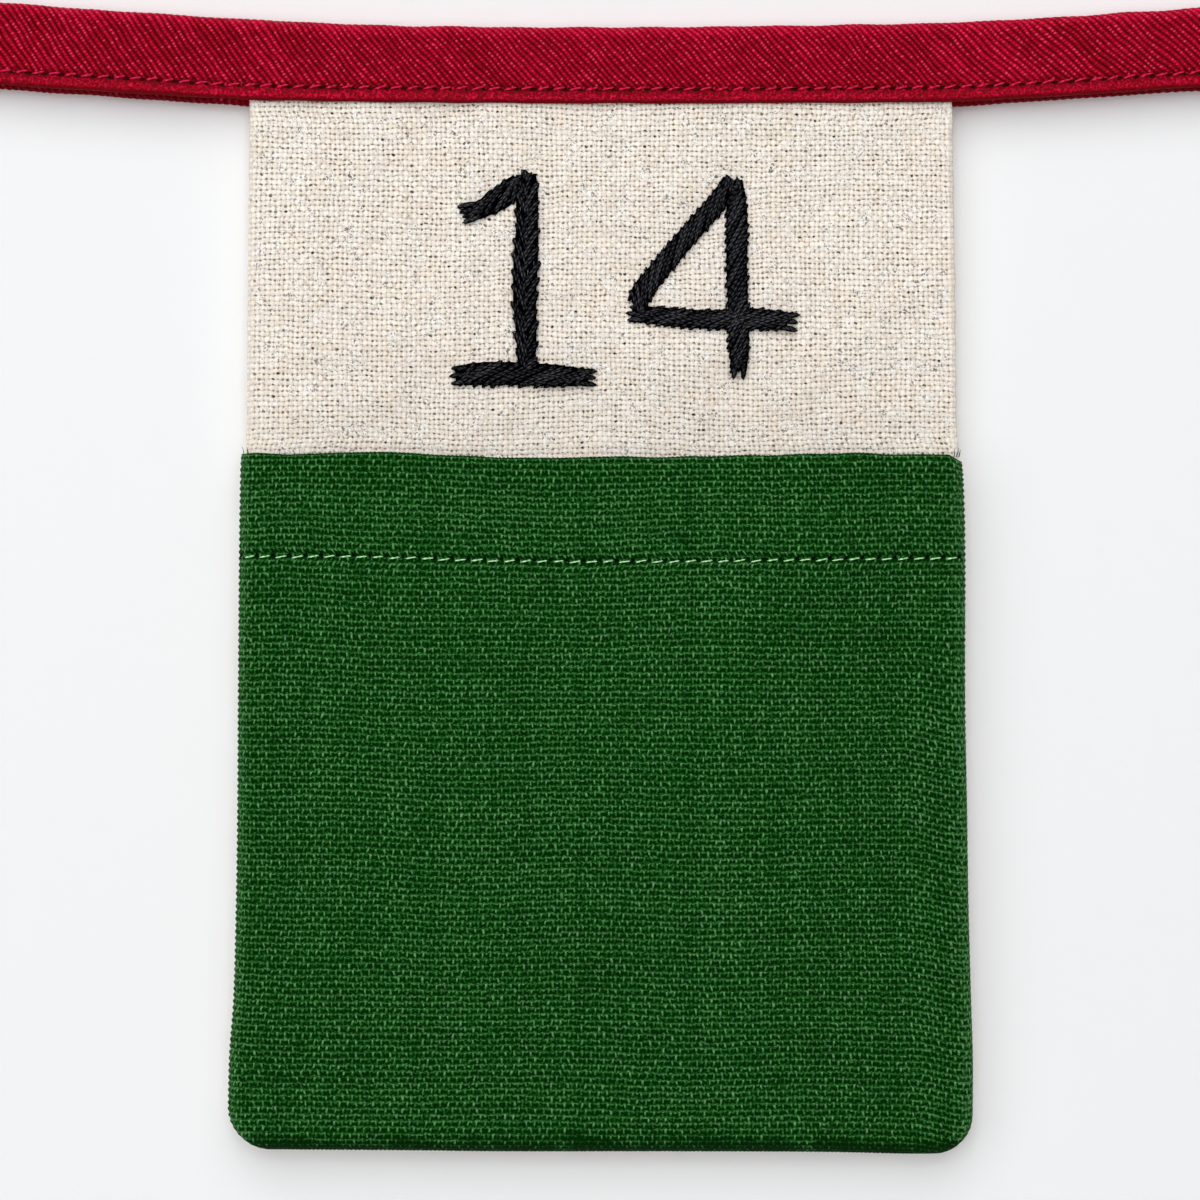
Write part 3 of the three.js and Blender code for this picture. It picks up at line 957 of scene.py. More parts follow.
def pocket_canvas(settings):
    """Green canvas, its relief painted in: a pale wavy line between the rows and pale upright floats
    as painted highlight, and dark cells as painted shade.
    """
    material, tree, shader = new_material("pocket_canvas")
    threads = map_of(tree, "threads")
    place = place_of(tree)
    weave = use(
        tree, plain_weave_group(), Threads=threads, Unevenness=0.75, Sway_Scale=0.6,
        Warp_Width=0.9, Weft_Width=0.95, Row_Shift=0.3,
    )
    over = weave["Warp Over"]
    fibres = use(
        tree, fibre_group(), Threads=threads, Place=place, Warp_Over=over, Cloud_Scale=70.0
    )
    # Painted highlight on the row line, the upright floats and the raised crowns; painted shade in
    # the cells.
    across, along, side = weave["Across"], weave["Along"], weave["Side"]
    swell = (across * math.pi).math("COSINE") * side
    crest = swell * 0.13 + 0.5
    line = (crest - along.math("ABSOLUTE")).math("ABSOLUTE").between(0.28, 0.03)
    luck = weave["Float Chance"]
    other = (luck * 17.0).math("FRACT")
    lean = other.swing(along) * 0.7
    upright = (across + lean).math("ABSOLUTE").between(0.4, 0.08)
    # Painted light from above: the upper half of each float is lighter.
    painted_top_light = along.between(-0.5, 0.45) * 0.75 + 0.25
    raised = side.between(-1.0, 1.0)
    strength = (raised * 0.84 + 0.04) * (luck * 0.7 + 0.5) * painted_top_light
    needle = use(
        tree, needle_group(), Seams=map_of(tree, "seams"), Drop=-0.24, Slant=-0.1,
        Hole_Length=0.42, Hole_Width=0.38, Groove_Width=0.9,
    )
    tone = line * (fibres["Clouds"] * 0.3 + fibres["Fibres"] * 0.5 + 0.14) + upright * strength
    tone = tone + line * upright * (raised * 0.7 + 0.15) * other + fibres["Fibres"].swing(0.9)
    tone = tone + weave["Thread Chance"].swing(0.15) + fuzz(tree).swing(1.1) + swell * 0.08 + 0.02
    # Painted light beside the rounded sides, painted shade on the rounded bottom edge and along the
    # stitch groove.
    tone = tone - edge_of(tree) * 0.4 - needle["Groove"] * 0.1
    colour = blend(tone.between(0.0, 0.6), settings.dark, settings.mid)
    colour = blend(tone.between(0.45, 1.2), colour, settings.light)
    # More painted shade on the rounded bottom edge.
    colour = blend(edge_of(tree) * 0.5, colour, settings.dark)
    # Painted shade in the needle holes.
    colour = blend(needle["Hole"].between(0.1, 0.7), colour, settings.hole)
    height = weave["Height"] * 0.6 + tone * 0.5
    rough = fibres["Fibres"] * 0.25 + 0.6
    coat(tree, shader, colour, rough, 0.03, bump(tree, height, 0.0003, 0.8))
    return material


def strand_material(name, dark, light, roughness, plies, painted_side_shade=0.0, wound=0.5):
    """A twisted thread: darker between its plies, as painted shade, and pale on them.

    Of its last two settings, the first says how much darker its sides are painted than its
    forward-facing crown, which takes a painted sheen, and wound how far its plies show.
    """
    material, tree, shader = new_material(name)
    threads = map_of(tree, "threads")
    strand = use(tree, strand_group(), Threads=threads, Plies=plies)
    tone = strand["Twist"] * wound + strand["Fibres"] * 0.7 + (0.3 - wound) * 0.5
    # Painted sheen on the forward-facing crown, painted shade on the sides and from the edge mark.
    crown = strand["Crown"] * strand["Crown"]
    tone = tone * (crown * painted_side_shade + (1 - painted_side_shade)) * edge_of(tree).less_than_one()
    colour = blend(tone.between(0.17, 0.73), dark, light)
    height = strand["Twist"] * 0.6 + strand["Fibres"] * 0.6
    rough = strand["Fibres"] * 0.3 + roughness
    coat(tree, shader, colour, rough, 0.002, bump(tree, height, 0.00006, 0.6))
    return material


def stage_paper():
    """Matt white paper, clear from behind and to shadow rays, so that it hides nothing."""
    material, tree, shader = new_material("stage_paper")
    coat(tree, shader, (*linear(240, 241, 242), 1), 0.95, 0.1)
    clear = new_node(tree, "ShaderNodeBsdfTransparent")
    behind = Wire(tree, new_node(tree, "ShaderNodeNewGeometry").outputs["Backfacing"])
    shadow = Wire(tree, new_node(tree, "ShaderNodeLightPath").outputs["Is Shadow Ray"])
    swap = new_node(tree, "ShaderNodeMixShader")
    plug(tree, behind.math("MAXIMUM", shadow), swap.inputs[0])
    tree.links.new(shader.outputs["BSDF"], swap.inputs[1])
    tree.links.new(clear.outputs["BSDF"], swap.inputs[2])
    output = next(node for node in tree.nodes if node.type == "OUTPUT_MATERIAL")
    tree.links.new(swap.outputs["Shader"], output.inputs["Surface"])
    return material


# ---------------------------------------------------------------- settings


def tint(name, description, red, green, blue):
    """A colour setting, its default written as it shows on a screen, from 0 to 255."""
    return bpy.props.FloatVectorProperty(
        name=name, description=description, default=linear(red, green, blue), subtype="COLOR"
    )


def measure(name, description, millimetres):
    """A size setting, with its default in millimetres."""
    return bpy.props.FloatProperty(
        name=name, description=description, default=millimetres * MM, unit="LENGTH"
    )


class BuntingTapeSettings(bpy.types.PropertyGroup):
    rib_pitch: measure("Rib pitch", "Distance between ribs along the tape", 1.09)
    rib_rise: measure("Rib rise", "Distance between ribs across the tape", 1.16)
    rib_height: measure("Rib height", "How far a rib stands over its groove", 0.17)
    red: tint("Red", "Main colour of the ribs", 168, 0, 36)
    # Painted highlight on the ribs' crowns.
    bright: tint("Bright red", "Colour of the crowns", 214, 24, 70)
    # Painted shade in the grooves and at the bottom folds.
    dark: tint("Groove", "Colour between the ribs", 110, 0, 10)
    # Painted shade in the grooves' pits and in the needle holes.
    deep: tint("Stitch hole", "Colour in the stitch line", 44, 0, 4)
    glint: tint("Glint", "Colour of the best-lit beads", 240, 84, 124)


class BuntingPanelSettings(bpy.types.PropertyGroup):
    warp_pitch: measure("Warp pitch", "Distance between upright threads", 0.756)
    weft_pitch: measure("Weft pitch", "Distance between level threads", 0.81)
    relief: measure("Relief", "Height of a thread over a hole", 0.14)
    cream: tint("Cream", "Main colour of the linen", 255, 249, 239)
    warm: tint("Warm cream", "Its warmer patches", 255, 244, 229)
    shade: tint("Shade", "Colour of a thread's low sides", 217, 204, 190)
    hole: tint("Hole", "Colour of most holes", 112, 96, 74)
    deep: tint("Open hole", "Colour of the few open holes", 34, 30, 26)
    # Painted shade in grey arcs beside the flecks.
    loop: tint("Fleck loop", "Grey round a metallic fleck", 104, 98, 94)
    cool: tint("Fleck ground", "Cooler cloth round the flecks", 247, 246, 244)
    # Painted glint of the metallic flecks.
    glint: tint("Fleck", "Colour of a metallic fleck", 254, 254, 255)


class BuntingPocketSettings(bpy.types.PropertyGroup):
    warp_pitch: measure("Warp pitch", "Distance between upright threads", 0.628)
    weft_pitch: measure("Weft pitch", "Distance between level threads", 0.977)
    relief: measure("Relief", "Height of a thread over a hole", 0.24)
    # Painted highlight on the crowns.
    light: tint("Light green", "Colour of the crowns", 104, 158, 100)
    mid: tint("Middle green", "Colour of the cloth from afar", 29, 88, 29)
    # Painted shade on the threads' sides, in the cells and at the bottom edge.
    dark: tint("Dark green", "Colour of the threads' sides", 0, 38, 0)
    # Painted shade in the needle holes.
    hole: tint("Hole", "Colour between the threads", 0, 16, 0)


class BuntingNumeralSettings(bpy.types.PropertyGroup):
    strand: measure("Strand", "Thickness of one strand of floss", 0.4)
    black: tint("Black", "Colour of the floss", 2, 2, 4)
    sheen: tint("Sheen", "Colour on the crowns of its strands", 80, 80, 84)


class BuntingStitchSettings(bpy.types.PropertyGroup):
    pitch: measure("Stitch pitch", "Distance from stitch to stitch", 2.52)
    hem_thread: measure("Hem thread", "Thickness of the thread in the hem", 0.22)
    tape_thread: measure("Tape thread", "Thickness of the thread in the tape", 0.3)
    green: tint("Hem green", "Colour of the hem's thread", 214, 255, 204)
    # Painted shade between the hem thread's plies.
    green_dark: tint("Hem green, low", "Between its plies", 130, 200, 124)
    red: tint("Tape red", "Colour of the tape's thread", 232, 48, 94)
    # Painted shade between the tape thread's plies.
    red_dark: tint("Tape red, low", "Between its plies", 186, 14, 54)


class BuntingStageSettings(bpy.types.PropertyGroup):
    wall_gap: measure("Wall gap", "From the tape's back to the wall", 0.8)
    drop: measure("Floor", "How far the floor lies under the tape", 800)
    view_width: measure("View width", "Width that the camera sees at the cloth", 186)
    lens: bpy.props.FloatProperty(
        name="Lens", description="Focal length of the camera in millimetres", default=135.0
    )


# ---------------------------------------------------------------- binding tape

TAPE_TOP_DROP = 1.5  # height of the tape's rounded top fold


def tape_levels():
    """Distances of the tape's layers from the middle of the panel that they grip."""
    turn_in_inner = PANEL_HALF + 0.1
    turn_in_outer = turn_in_inner + TAPE_THICK
    leg_inner = turn_in_outer + AIR
    return turn_in_inner, turn_in_outer, leg_inner, leg_inner + TAPE_THICK


def bottom_fold(side, width, radius, count):
    """The bottom fold of one leg as (y, height), from its outside round to its turned-in side."""
    _, turn_in_outer, leg_inner, _ = tape_levels()
    turn = np.linspace(0, math.pi, count)
    out = (turn_in_outer + leg_inner) / 2 + radius * np.cos(turn)
    rise = -width + TAPE_THICK + AIR / 2 - radius * np.sin(turn)
    return joined(side * out, rise)


def top_fold(half_width, height, count):
    """The top fold over the panel as (y, height), from the front leg to the back leg."""
    turn = np.linspace(0, math.pi, count)
    return joined(-half_width * np.cos(turn), -TAPE_TOP_DROP + height * np.sin(turn))


def tape_outside(x):
    """The visible run of the tape: from inside the front bottom fold, up, over and down behind."""
    wide = TAPE_THICK + AIR / 2
    leg_outer = tape_levels()[3]
    front = bottom_fold(-1, float(tape_front(x)), wide, 24)[::-1]
    back = bottom_fold(1, float(tape_back(x)), wide, 24)
    return np.concatenate([front, top_fold(leg_outer, TAPE_TOP_DROP, 40), back])


def tape_inside(x):
    """The hidden run: up the back turn-in, round its raw edge, through the inside of both legs
    and down the front turn-in. Its first and last three points lie on the cloth's outer face."""
    turn_in_inner, turn_in_outer, leg_inner, _ = tape_levels()
    tight = AIR / 2
    climb = np.linspace(0, TURN_IN, 4)[1:]
    front_start = -float(tape_front(x)) + TAPE_THICK + tight
    back_start = -float(tape_back(x)) + TAPE_THICK + tight
    return np.concatenate([
        joined(turn_in_inner, back_start + climb),
        [[turn_in_outer, back_start + TURN_IN]],
        bottom_fold(1, float(tape_back(x)), tight, 5)[::-1],
        top_fold(leg_inner, TAPE_TOP_DROP - TAPE_THICK, 9)[::-1],
        bottom_fold(-1, float(tape_front(x)), tight, 5),
        [[-turn_in_outer, front_start + TURN_IN]],
        joined(-turn_in_inner, front_start + climb[::-1]),
    ])


def placed_sections(sections, places):
    """Points in space for one (y, height) section at each place along the tape."""
    height = sections[..., 1] + tape_top(places)[:, None]
    return joined(places[:, None], sections[..., 0], height)


def tape_stitch_line(x):
    """Height of the tape's line of stitches."""
    return tape_top(x) - tape_front(x) + TAPE_STITCH_RISE


def rib_height(u, v, over, relief):
    """Relief of the twill, whose ribs are finer and hooked under the stitch line."""
    hook = HOOK_REACH * np.sin(math.pi * over / TAPE_STITCH_RISE)
    count = np.where(over < 0, u * LOW_RIBS + hook, u + v)
    rib_number = np.floor(count)
    crown = np.abs(np.sin(math.pi * count)) ** 0.8
    tall = mix(0.75, 1.15, dice_of(rib_number, 0, 4))
    bead = np.abs(np.sin(math.pi * (3.1 * v + 7 * dice_of(rib_number, 1, 5))))
    return relief * (tall * (crown - 0.6) + 0.2 * bead * crown)


def stitch_dimples(x, z, line, step, groove, hole):
    """How deep a line of machine stitches draws the cloth in."""
    near = np.exp(-(((z - line) / 0.5) ** 2))
    between = np.abs((x / step) % 1 - 0.5) * 2
    return near * (groove + hole * smooth(0.45, 0.95, between))


def tape_swing(x, z):
    """How far the tape's face swings out from flat, by slow waves along it."""
    return 0.12 * wander(x, z, 22, 11)


def rib_places(first, last, pitch, per_rib):
    """Places along the tape, per_rib to a rib. The ribs lie wider towards its right end."""
    fine = np.linspace(first, last, 2000)
    density = (1 - 0.125 * smooth(44, 64, fine)) / pitch
    count = np.concatenate([[0], np.cumsum((density[1:] + density[:-1]) / 2 * np.diff(fine))])
    steps = round(float(count[-1]) * per_rib)
    return np.interp(np.linspace(0, count[-1], steps + 1), count, fine)


def make_tape(settings, stitches):
    """The folded tape: its ribbed outside, its turned-in edges and its plain inside."""
    first, last = TAPE_LINE[0]["x"], TAPE_LINE[-1]["x"]
    per_rib = 4
    places = rib_places(first, last, settings.rib_pitch / MM, per_rib)
    middle = tape_outside(0)
    length = np.linalg.norm(np.diff(middle, axis=0), axis=1).sum()
    rows = round(length / (settings.rib_rise / MM) * per_rib) + 1
    shares = np.linspace(0, 1, rows)
    sections = np.array([along_path(tape_outside(x), shares) for x in places])
    points = placed_sections(sections, places)
    u = np.arange(len(places))[:, None] / per_rib
    v = np.arange(rows)[None, :] / per_rib
    x, y, z = points[..., 0], points[..., 1], points[..., 2]
    inner = smooth(0, 4, x - first) * smooth(0, 4, last - x)
    line = tape_stitch_line(x)
    in_front = y < 0
    over = np.where(in_front, z - line, 99)
    # Towards the left end the ribs lean over further.
    steeper = np.where(in_front, z - tape_top(x) + 6, 6) / (settings.rib_rise / MM)
    u = u - 0.19 * smooth(-20, -58, x) * steeper
    u = u + 0.12 * wander(x, z, 9, 14) + 0.08 * wander(x, z, 3.5, 15)
    height = rib_height(u, v, over, settings.rib_height / MM)
    # The ribs are pressed flat beside the stitches and almost gone under them.
    height *= mix(1, 0.45, np.exp(-(((z - line - 0.7) / 0.8) ** 2)) * in_front)
    height *= np.where(over < 0, 0.1, 1)
    height -= stitch_dimples(x, z, line, stitches.pitch / MM, 0.2, 0.3) * in_front
    height += tape_swing(x, z) * inner * smooth(1.0, 1.6, np.abs(y))
    points = points + squares_to(points, (0, 0, 1)) * height[..., None]
    points[..., 2] += 0.06 * wander(x, z, 9, 12) * inner
    x, z = points[..., 0], points[..., 2]
    over = np.where(in_front, z - tape_stitch_line(x), 99)
    seams = joined(x / (stitches.pitch / MM), over)
    # Edge mark: painted shade along the bottom folds and painted light along the top fold.
    leg = np.where(in_front, tape_front(x), tape_back(x))
    from_foot = z - tape_top(x) + leg
    edge = smooth(0.7, 0.15, from_foot) - 0.5 * smooth(2.4, 0.2, tape_top(x) - z)

    cloth = Cloth()
    outside = cloth.add(points, joined(u, v), seams, edge)
    cloth.slanted_grid(outside)
    coarse = np.linspace(first, last, 84)
    hidden_points = placed_sections(np.array([tape_inside(x) for x in coarse]), coarse)
    hidden_u = np.linspace(0, u.max(), len(coarse))[:, None]
    hidden_v = v.max() + np.arange(hidden_points.shape[1])[None, :]
    hidden = cloth.add(hidden_points, joined(hidden_u, hidden_v))
    cloth.grid(hidden)
    cloth.zip(outside[:, -1], hidden[:, 0])
    cloth.zip(outside[:, 0], hidden[:, -1])
    for end in (0, -1):
        face = [*hidden[end, -3:], *outside[end], *hidden[end, :3]]
        cloth.zip(face, hidden[end, 3:-3][::-1])
    return cloth.piece("tape_cloth")


# ---------------------------------------------------------------- linen panel

FOLD_RADIUS = PANEL_HALF + AIR / 2 + PANEL_HALF  # outside of the turned side edges
PANEL_FACE_TOP = -10  # the woven relief starts here, inside the tape
PANEL_FACE_FOOT = -68.5  # and ends here, inside the pocket's mouth


def panel_edges(z):
    """The panel's left and right edge at height z."""
    left, right = pocket_edges(z, PANEL_INSET)
    into = smooth(-65, -68, z)
    return mix(panel_left(z), left, into), mix(panel_right(z), right, into)


def folded_share(z):
    """1 where the side allowances are turned back and 0 where the sheet ends flat."""
    return smooth(TURNED_TOP, TURNED_TOP - 1.6, z) * smooth(TURNED_FOOT, TURNED_FOOT + 1.6, z)


def panel_run(z, level, strip, turn, face):
    """One face of the panel at height z, as (x, y), out to the raw edges of its turned sides.

    level is the face's y on flat cloth: -PANEL_HALF in front and PANEL_HALF behind. strip, turn
    and face are how many steps the turned strips, the folds and the face take.
    """
    left, right = (float(value) for value in panel_edges(z))
    fold = float(folded_share(z))
    radius = mix(PANEL_HALF, FOLD_RADIUS, fold)
    reach = radius + fold * (TURNED_EDGE - radius)
    bend = radius if level < 0 else AIR * fold / 2
    angle = np.linspace(math.pi / 2, 1.5 * math.pi, turn + 1)
    strip_x = np.linspace(reach, radius, strip + 1)[:-1]
    side = joined(
        np.concatenate([strip_x, radius + bend * np.cos(angle)]),
        level + bend * np.concatenate([np.full(strip, 2), 1 + np.sin(angle)]),
    )
    across = np.linspace(left + radius, right - radius, face + 1)[1:-1]
    flat = joined(across, level)
    return np.concatenate([side + [left, 0], flat, side[::-1] * [-1, 1] + [right, 0]])


def stacked_runs(heights, *steps):
    """The panel's runs at several heights as one patch of points: along the run, then down."""
    runs = np.array([panel_run(z, *steps) for z in heights])
    return joined(runs[..., 0], runs[..., 1], heights[:, None]).transpose(1, 0, 2)


def end_heights(points):
    """Lets the panel's top follow the tape and its bottom follow the pocket's bottom edge."""
    x, z = points[..., 0], points[..., 2]
    top_share = smooth(-12, 0, z)
    foot_share = smooth(-150, -174, z)
    lift = top_share * (tape_top(x) - PANEL_TOP_DROP) + foot_share * (pocket_foot(x) + 174)
    points[..., 2] = z + lift
    return points


def numeral_pull(x, z):
    """0 far from the embroidery and 1 beside it, where its stitches draw the linen in."""
    near = np.full(np.broadcast(x, z).shape, 1e3)
    for stroke in STROKES:
        for row, after in zip(stroke["rows"], stroke["rows"][1:]):
            along = np.array([after["x"] - row["x"], after["z"] - row["z"]])
            share = (x - row["x"]) * along[0] + (z - row["z"]) * along[1]
            share = np.clip(share / (along @ along), 0, 1)
            gap = np.hypot(x - row["x"] - share * along[0], z - row["z"] - share * along[1])
            near = np.minimum(near, gap)
    return np.exp(-((near / 3.5) ** 2))


def make_panel(settings):
    """The linen panel: woven face, folded side allowances and plain back."""
    warp = settings.warp_pitch / MM
    weft = settings.weft_pitch / MM
    relief = settings.relief / MM
    foot = (LEFT_FOOT + RIGHT_FOOT) / 2 + PANEL_INSET
    left, right = (float(value) for value in panel_edges(-40))
    face = round((right - left - 2 * FOLD_RADIUS) / warp) * 2
    turn = round(math.pi * FOLD_RADIUS / warp * 2)
    strip = round((TURNED_EDGE - FOLD_RADIUS) / warp)
    down = round((PANEL_FACE_TOP - PANEL_FACE_FOOT) / weft * 2) + 1
    heights = np.linspace(PANEL_FACE_TOP, PANEL_FACE_FOOT, down)
    points = stacked_runs(heights, -PANEL_HALF, strip, turn, face)
    side_counts = np.concatenate([np.arange(strip) * 2.0, strip * 2 + np.arange(turn + 1)])
    far = side_counts[-1] + face
    u = np.concatenate([
        side_counts,
        side_counts[-1] + np.arange(1, face),
        far + side_counts[-1] - side_counts[::-1],
    ])
    u = u[:, None] / 2
    v = -np.arange(down)[None, :] / 2
    x, z = points[..., 0], points[..., 2]
    inner = smooth(0, 5, x - left) * smooth(0, 5, right - x)
    level = smooth(PANEL_FACE_FOOT, PANEL_FACE_FOOT + 3, z)
    level = level * smooth(PANEL_FACE_TOP, PANEL_FACE_TOP - 2, z)
    in_front = points[..., 1] < 0
    pull = numeral_pull(x, z)
    height = relief * (plain_weave_height(u, v) - 0.6) * level
    height += (0.22 * wander(x, z, 26, 21) * inner + 0.1 * wander(x, z, 8, 22)) * level * in_front
    height -= 0.2 * pull * level * in_front
    sway_x = 0.16 * wander(x, z, 24, 23) * inner + 0.05 * wander(x, z, 4, 24)
    sway_z = 0.3 * wander(x, z, 34, 25) + 0.07 * wander(x, z, 4.5, 26)
    sway_z = sway_z + 0.25 * pull * wander(x, z, 7, 27)
    points = points + squares_to(points, (0, -1, 0)) * height[..., None]
    points[..., 0] += sway_x * level
    points[..., 2] += sway_z * level

    x = points[..., 0]
    from_side = np.minimum(x - panel_edges(z)[0], panel_edges(z)[1] - x)
    edge = np.maximum(smooth(1.3, 0.5, from_side + 0.25 * wander(x, z, 3, 29)), 1 - in_front)
    cloth = Cloth()
    front = cloth.add(points, joined(u, v), edge=edge)
    cloth.grid(front)
    plain = (6, 8, 40)  # steps of the strips, folds and face where the tape or pocket hides them
    gripped = np.linspace(0, PANEL_FACE_TOP, 5)
    corner = foot + CORNER_LEFT * (1 - np.sin(np.linspace(0, math.pi / 2, 8)))
    pocketed = np.concatenate([np.linspace(PANEL_FACE_FOOT, corner[0], 14), corner[1:]])
    faces = []
    for heights in (gripped, pocketed):
        patch = end_heights(stacked_runs(heights, -PANEL_HALF, *plain))
        count_map = joined(patch[..., 0] / warp, patch[..., 2] / weft)
        number = cloth.add(patch, count_map)
        cloth.grid(number)
        faces.append(number)
    top, low = faces
    cloth.zip(top[:, -1], front[:, 0])
    cloth.zip(low[:, 0], front[:, -1])
    back_face = round((right - left) / warp)
    back_heights = np.concatenate([
        gripped[:-1],
        np.linspace(PANEL_FACE_TOP, corner[0], round((-foot - 17) / weft)),
        corner[1:],
    ])
    back_points = end_heights(stacked_runs(back_heights, PANEL_HALF, 4, 4, back_face))
    x, z = back_points[..., 0], back_points[..., 2]
    flat = (np.abs(back_points[..., 1] - PANEL_HALF) < 1e-6) * smooth(0, 4, z - foot)
    back_points[..., 1] += 0.06 * wander(x, z, 30, 28) * flat * smooth(PANEL_FACE_TOP, -16, z)
    back_points[..., 1] += 0.03 * (dice_of(np.round(x / warp), np.round(z / weft), 7) - 0.5) * flat
    back = cloth.add(back_points, joined(x / warp, z / weft))
    cloth.grid(back)
    cloth.zip(top[:, 0], back[:, 0])
    cloth.zip(low[:, -1], back[:, -1])
    for end in (0, -1):
        edge = [*top[end], *front[end], *low[end]]
        cloth.zip(edge, back[end])
    return cloth.piece("panel_cloth")


# ---------------------------------------------------------------- canvas pocket

HEM_STITCH_DROP = 15.9  # the hem's stitch line lies this far under the mouth
POCKET_WARPS = 184  # threads across the cloth
POCKET_WEFTS = 111  # and from its bottom edge to its mouth
EDGE_ZONE = 14.0  # width beside the pocket's sides where its corners squeeze the columns


def rolled_edge():
    """Pairs of (length along the cloth, distance in from its edge) over the rounded edge."""
    turn = np.linspace(0, math.pi / 2, 60)
    inward = ROLL_REACH * (1 - np.cos(turn))
    forward = ROLL_DEPTH * np.sin(turn)
    step = np.hypot(np.diff(inward), np.diff(forward))
    return np.concatenate([[0], np.cumsum(step)]), inward


ROLL_LENGTHS, ROLL_REACHES = rolled_edge()
ROLL_SPARE = ROLL_LENGTHS[-1] - ROLL_REACH  # cloth that the rounded edge takes up


def reach_of(length):
    """Distance in from the edge, seen from the front, of a point this far along the cloth."""
    on_roll = np.interp(length, ROLL_LENGTHS, ROLL_REACHES)
    return np.where(length < ROLL_LENGTHS[-1], on_roll, length - ROLL_SPARE)


def length_of(reach):
    """The other way round: how far along the cloth a point lies."""
    on_roll = np.interp(reach, ROLL_REACHES, ROLL_LENGTHS)
    return np.where(reach < ROLL_REACH, on_roll, reach + ROLL_SPARE)


def across_pocket(share, z, inset):
    """x at a share of the cloth's width, from 0 at its left edge to 1 at its right one."""
    left, right = pocket_left(z), pocket_right(z)
    whole = right - left + 2 * ROLL_SPARE
    edge_left, edge_right = pocket_edges(z, inset)
    near = np.minimum(share, 1 - share) * whole
    reach = reach_of(near)
    pulled = np.where(share < 0.5, edge_left - left, right - edge_right)
    limit = reach_of(np.asarray(EDGE_ZONE))
    squeezed = pulled + reach * (limit - pulled) / limit
    reach = np.where(near < EDGE_ZONE, squeezed, reach)
    return np.where(share < 0.5, left + reach, right - reach)


def pocket_points(shares, z, inset):
    """Points of the pocket front at shares of its width and heights z."""
    x = across_pocket(shares, z, inset)
    return joined(x, pocket_face(x, z, inset), z)


def rough_x(z, shares):
    """x at shares of the pocket's width as it is seen from the front at height z."""
    return mix(float(pocket_left(z)), float(pocket_right(z)), shares)


def between_sides(x, z, low, high):
    """0 up to low millimetres from the pocket's sides and 1 from high millimetres inwards."""
    return smooth(low, high, x - pocket_left(z)) * smooth(low, high, pocket_right(z) - x)


def hem_stitch_line(x):
    """Height of the hem's line of stitches."""
    return pocket_mouth(x) - HEM_STITCH_DROP


def pocket_rows(shares, rises, inset):
    """Points of the pocket front at shares of its width and lengths up from its bottom edge."""
    share = shares[:, None]
    rough = rough_x(-120, share)
    tall = pocket_mouth(rough) - HEM_RADIUS - pocket_foot(rough) + ROLL_SPARE
    seen = tall - ROLL_SPARE
    reach = reach_of(rises[None, :] * tall)
    return pocket_points(share, pocket_foot(rough) + inset + reach * (seen - inset) / seen, inset)


def fold_foot(x):
    """Height at which the cloth begins to turn over at the mouth."""
    return pocket_mouth(x) - POCKET_THICK - AIR / 2


def pocket_fold(shares, outer, inner, count):
    """Rows over the mouth's fold, from one inset to another."""
    rows = []
    for turn in np.linspace(0, math.pi, count):
        z = fold_foot(rough_x(-66, shares)) + (inner - outer) / 2 * math.sin(turn)
        ends = [pocket_points(shares, z, inset) for inset in (outer, inner)]
        share = (1 - math.cos(turn)) / 2
        row = mix(ends[0], ends[1], share)
        row[:, 0] = mix(ends[0][:, 0], ends[1][:, 0], share**3)
        rows.append(row)
    return np.stack(rows, axis=1)


def pocket_hem(shares, inset, count):
    """Rows of the hem from the mouth's fold down to its raw edge."""
    rough = rough_x(-70, shares)[:, None]
    z = mix(fold_foot(rough), pocket_mouth(rough) - HEM, np.linspace(0, 1, count)[None, :])
    return pocket_points(shares[:, None], z, inset)


def pocket_swing(x, z):
    """How far the pocket's face swings out from its smooth form: slow waves and the thick hem."""
    inner = between_sides(x, z, 0, 9) * smooth(0, 9, z - pocket_foot(x))
    waves = 0.3 * wander(x, z, 38, 31) + 0.08 * wander(x, z, 9, 32)
    hem = 0.22 * smooth(-0.3, 0.7, z - hem_stitch_line(x)) * between_sides(x, z, 0.3, 3)
    return waves * inner + hem


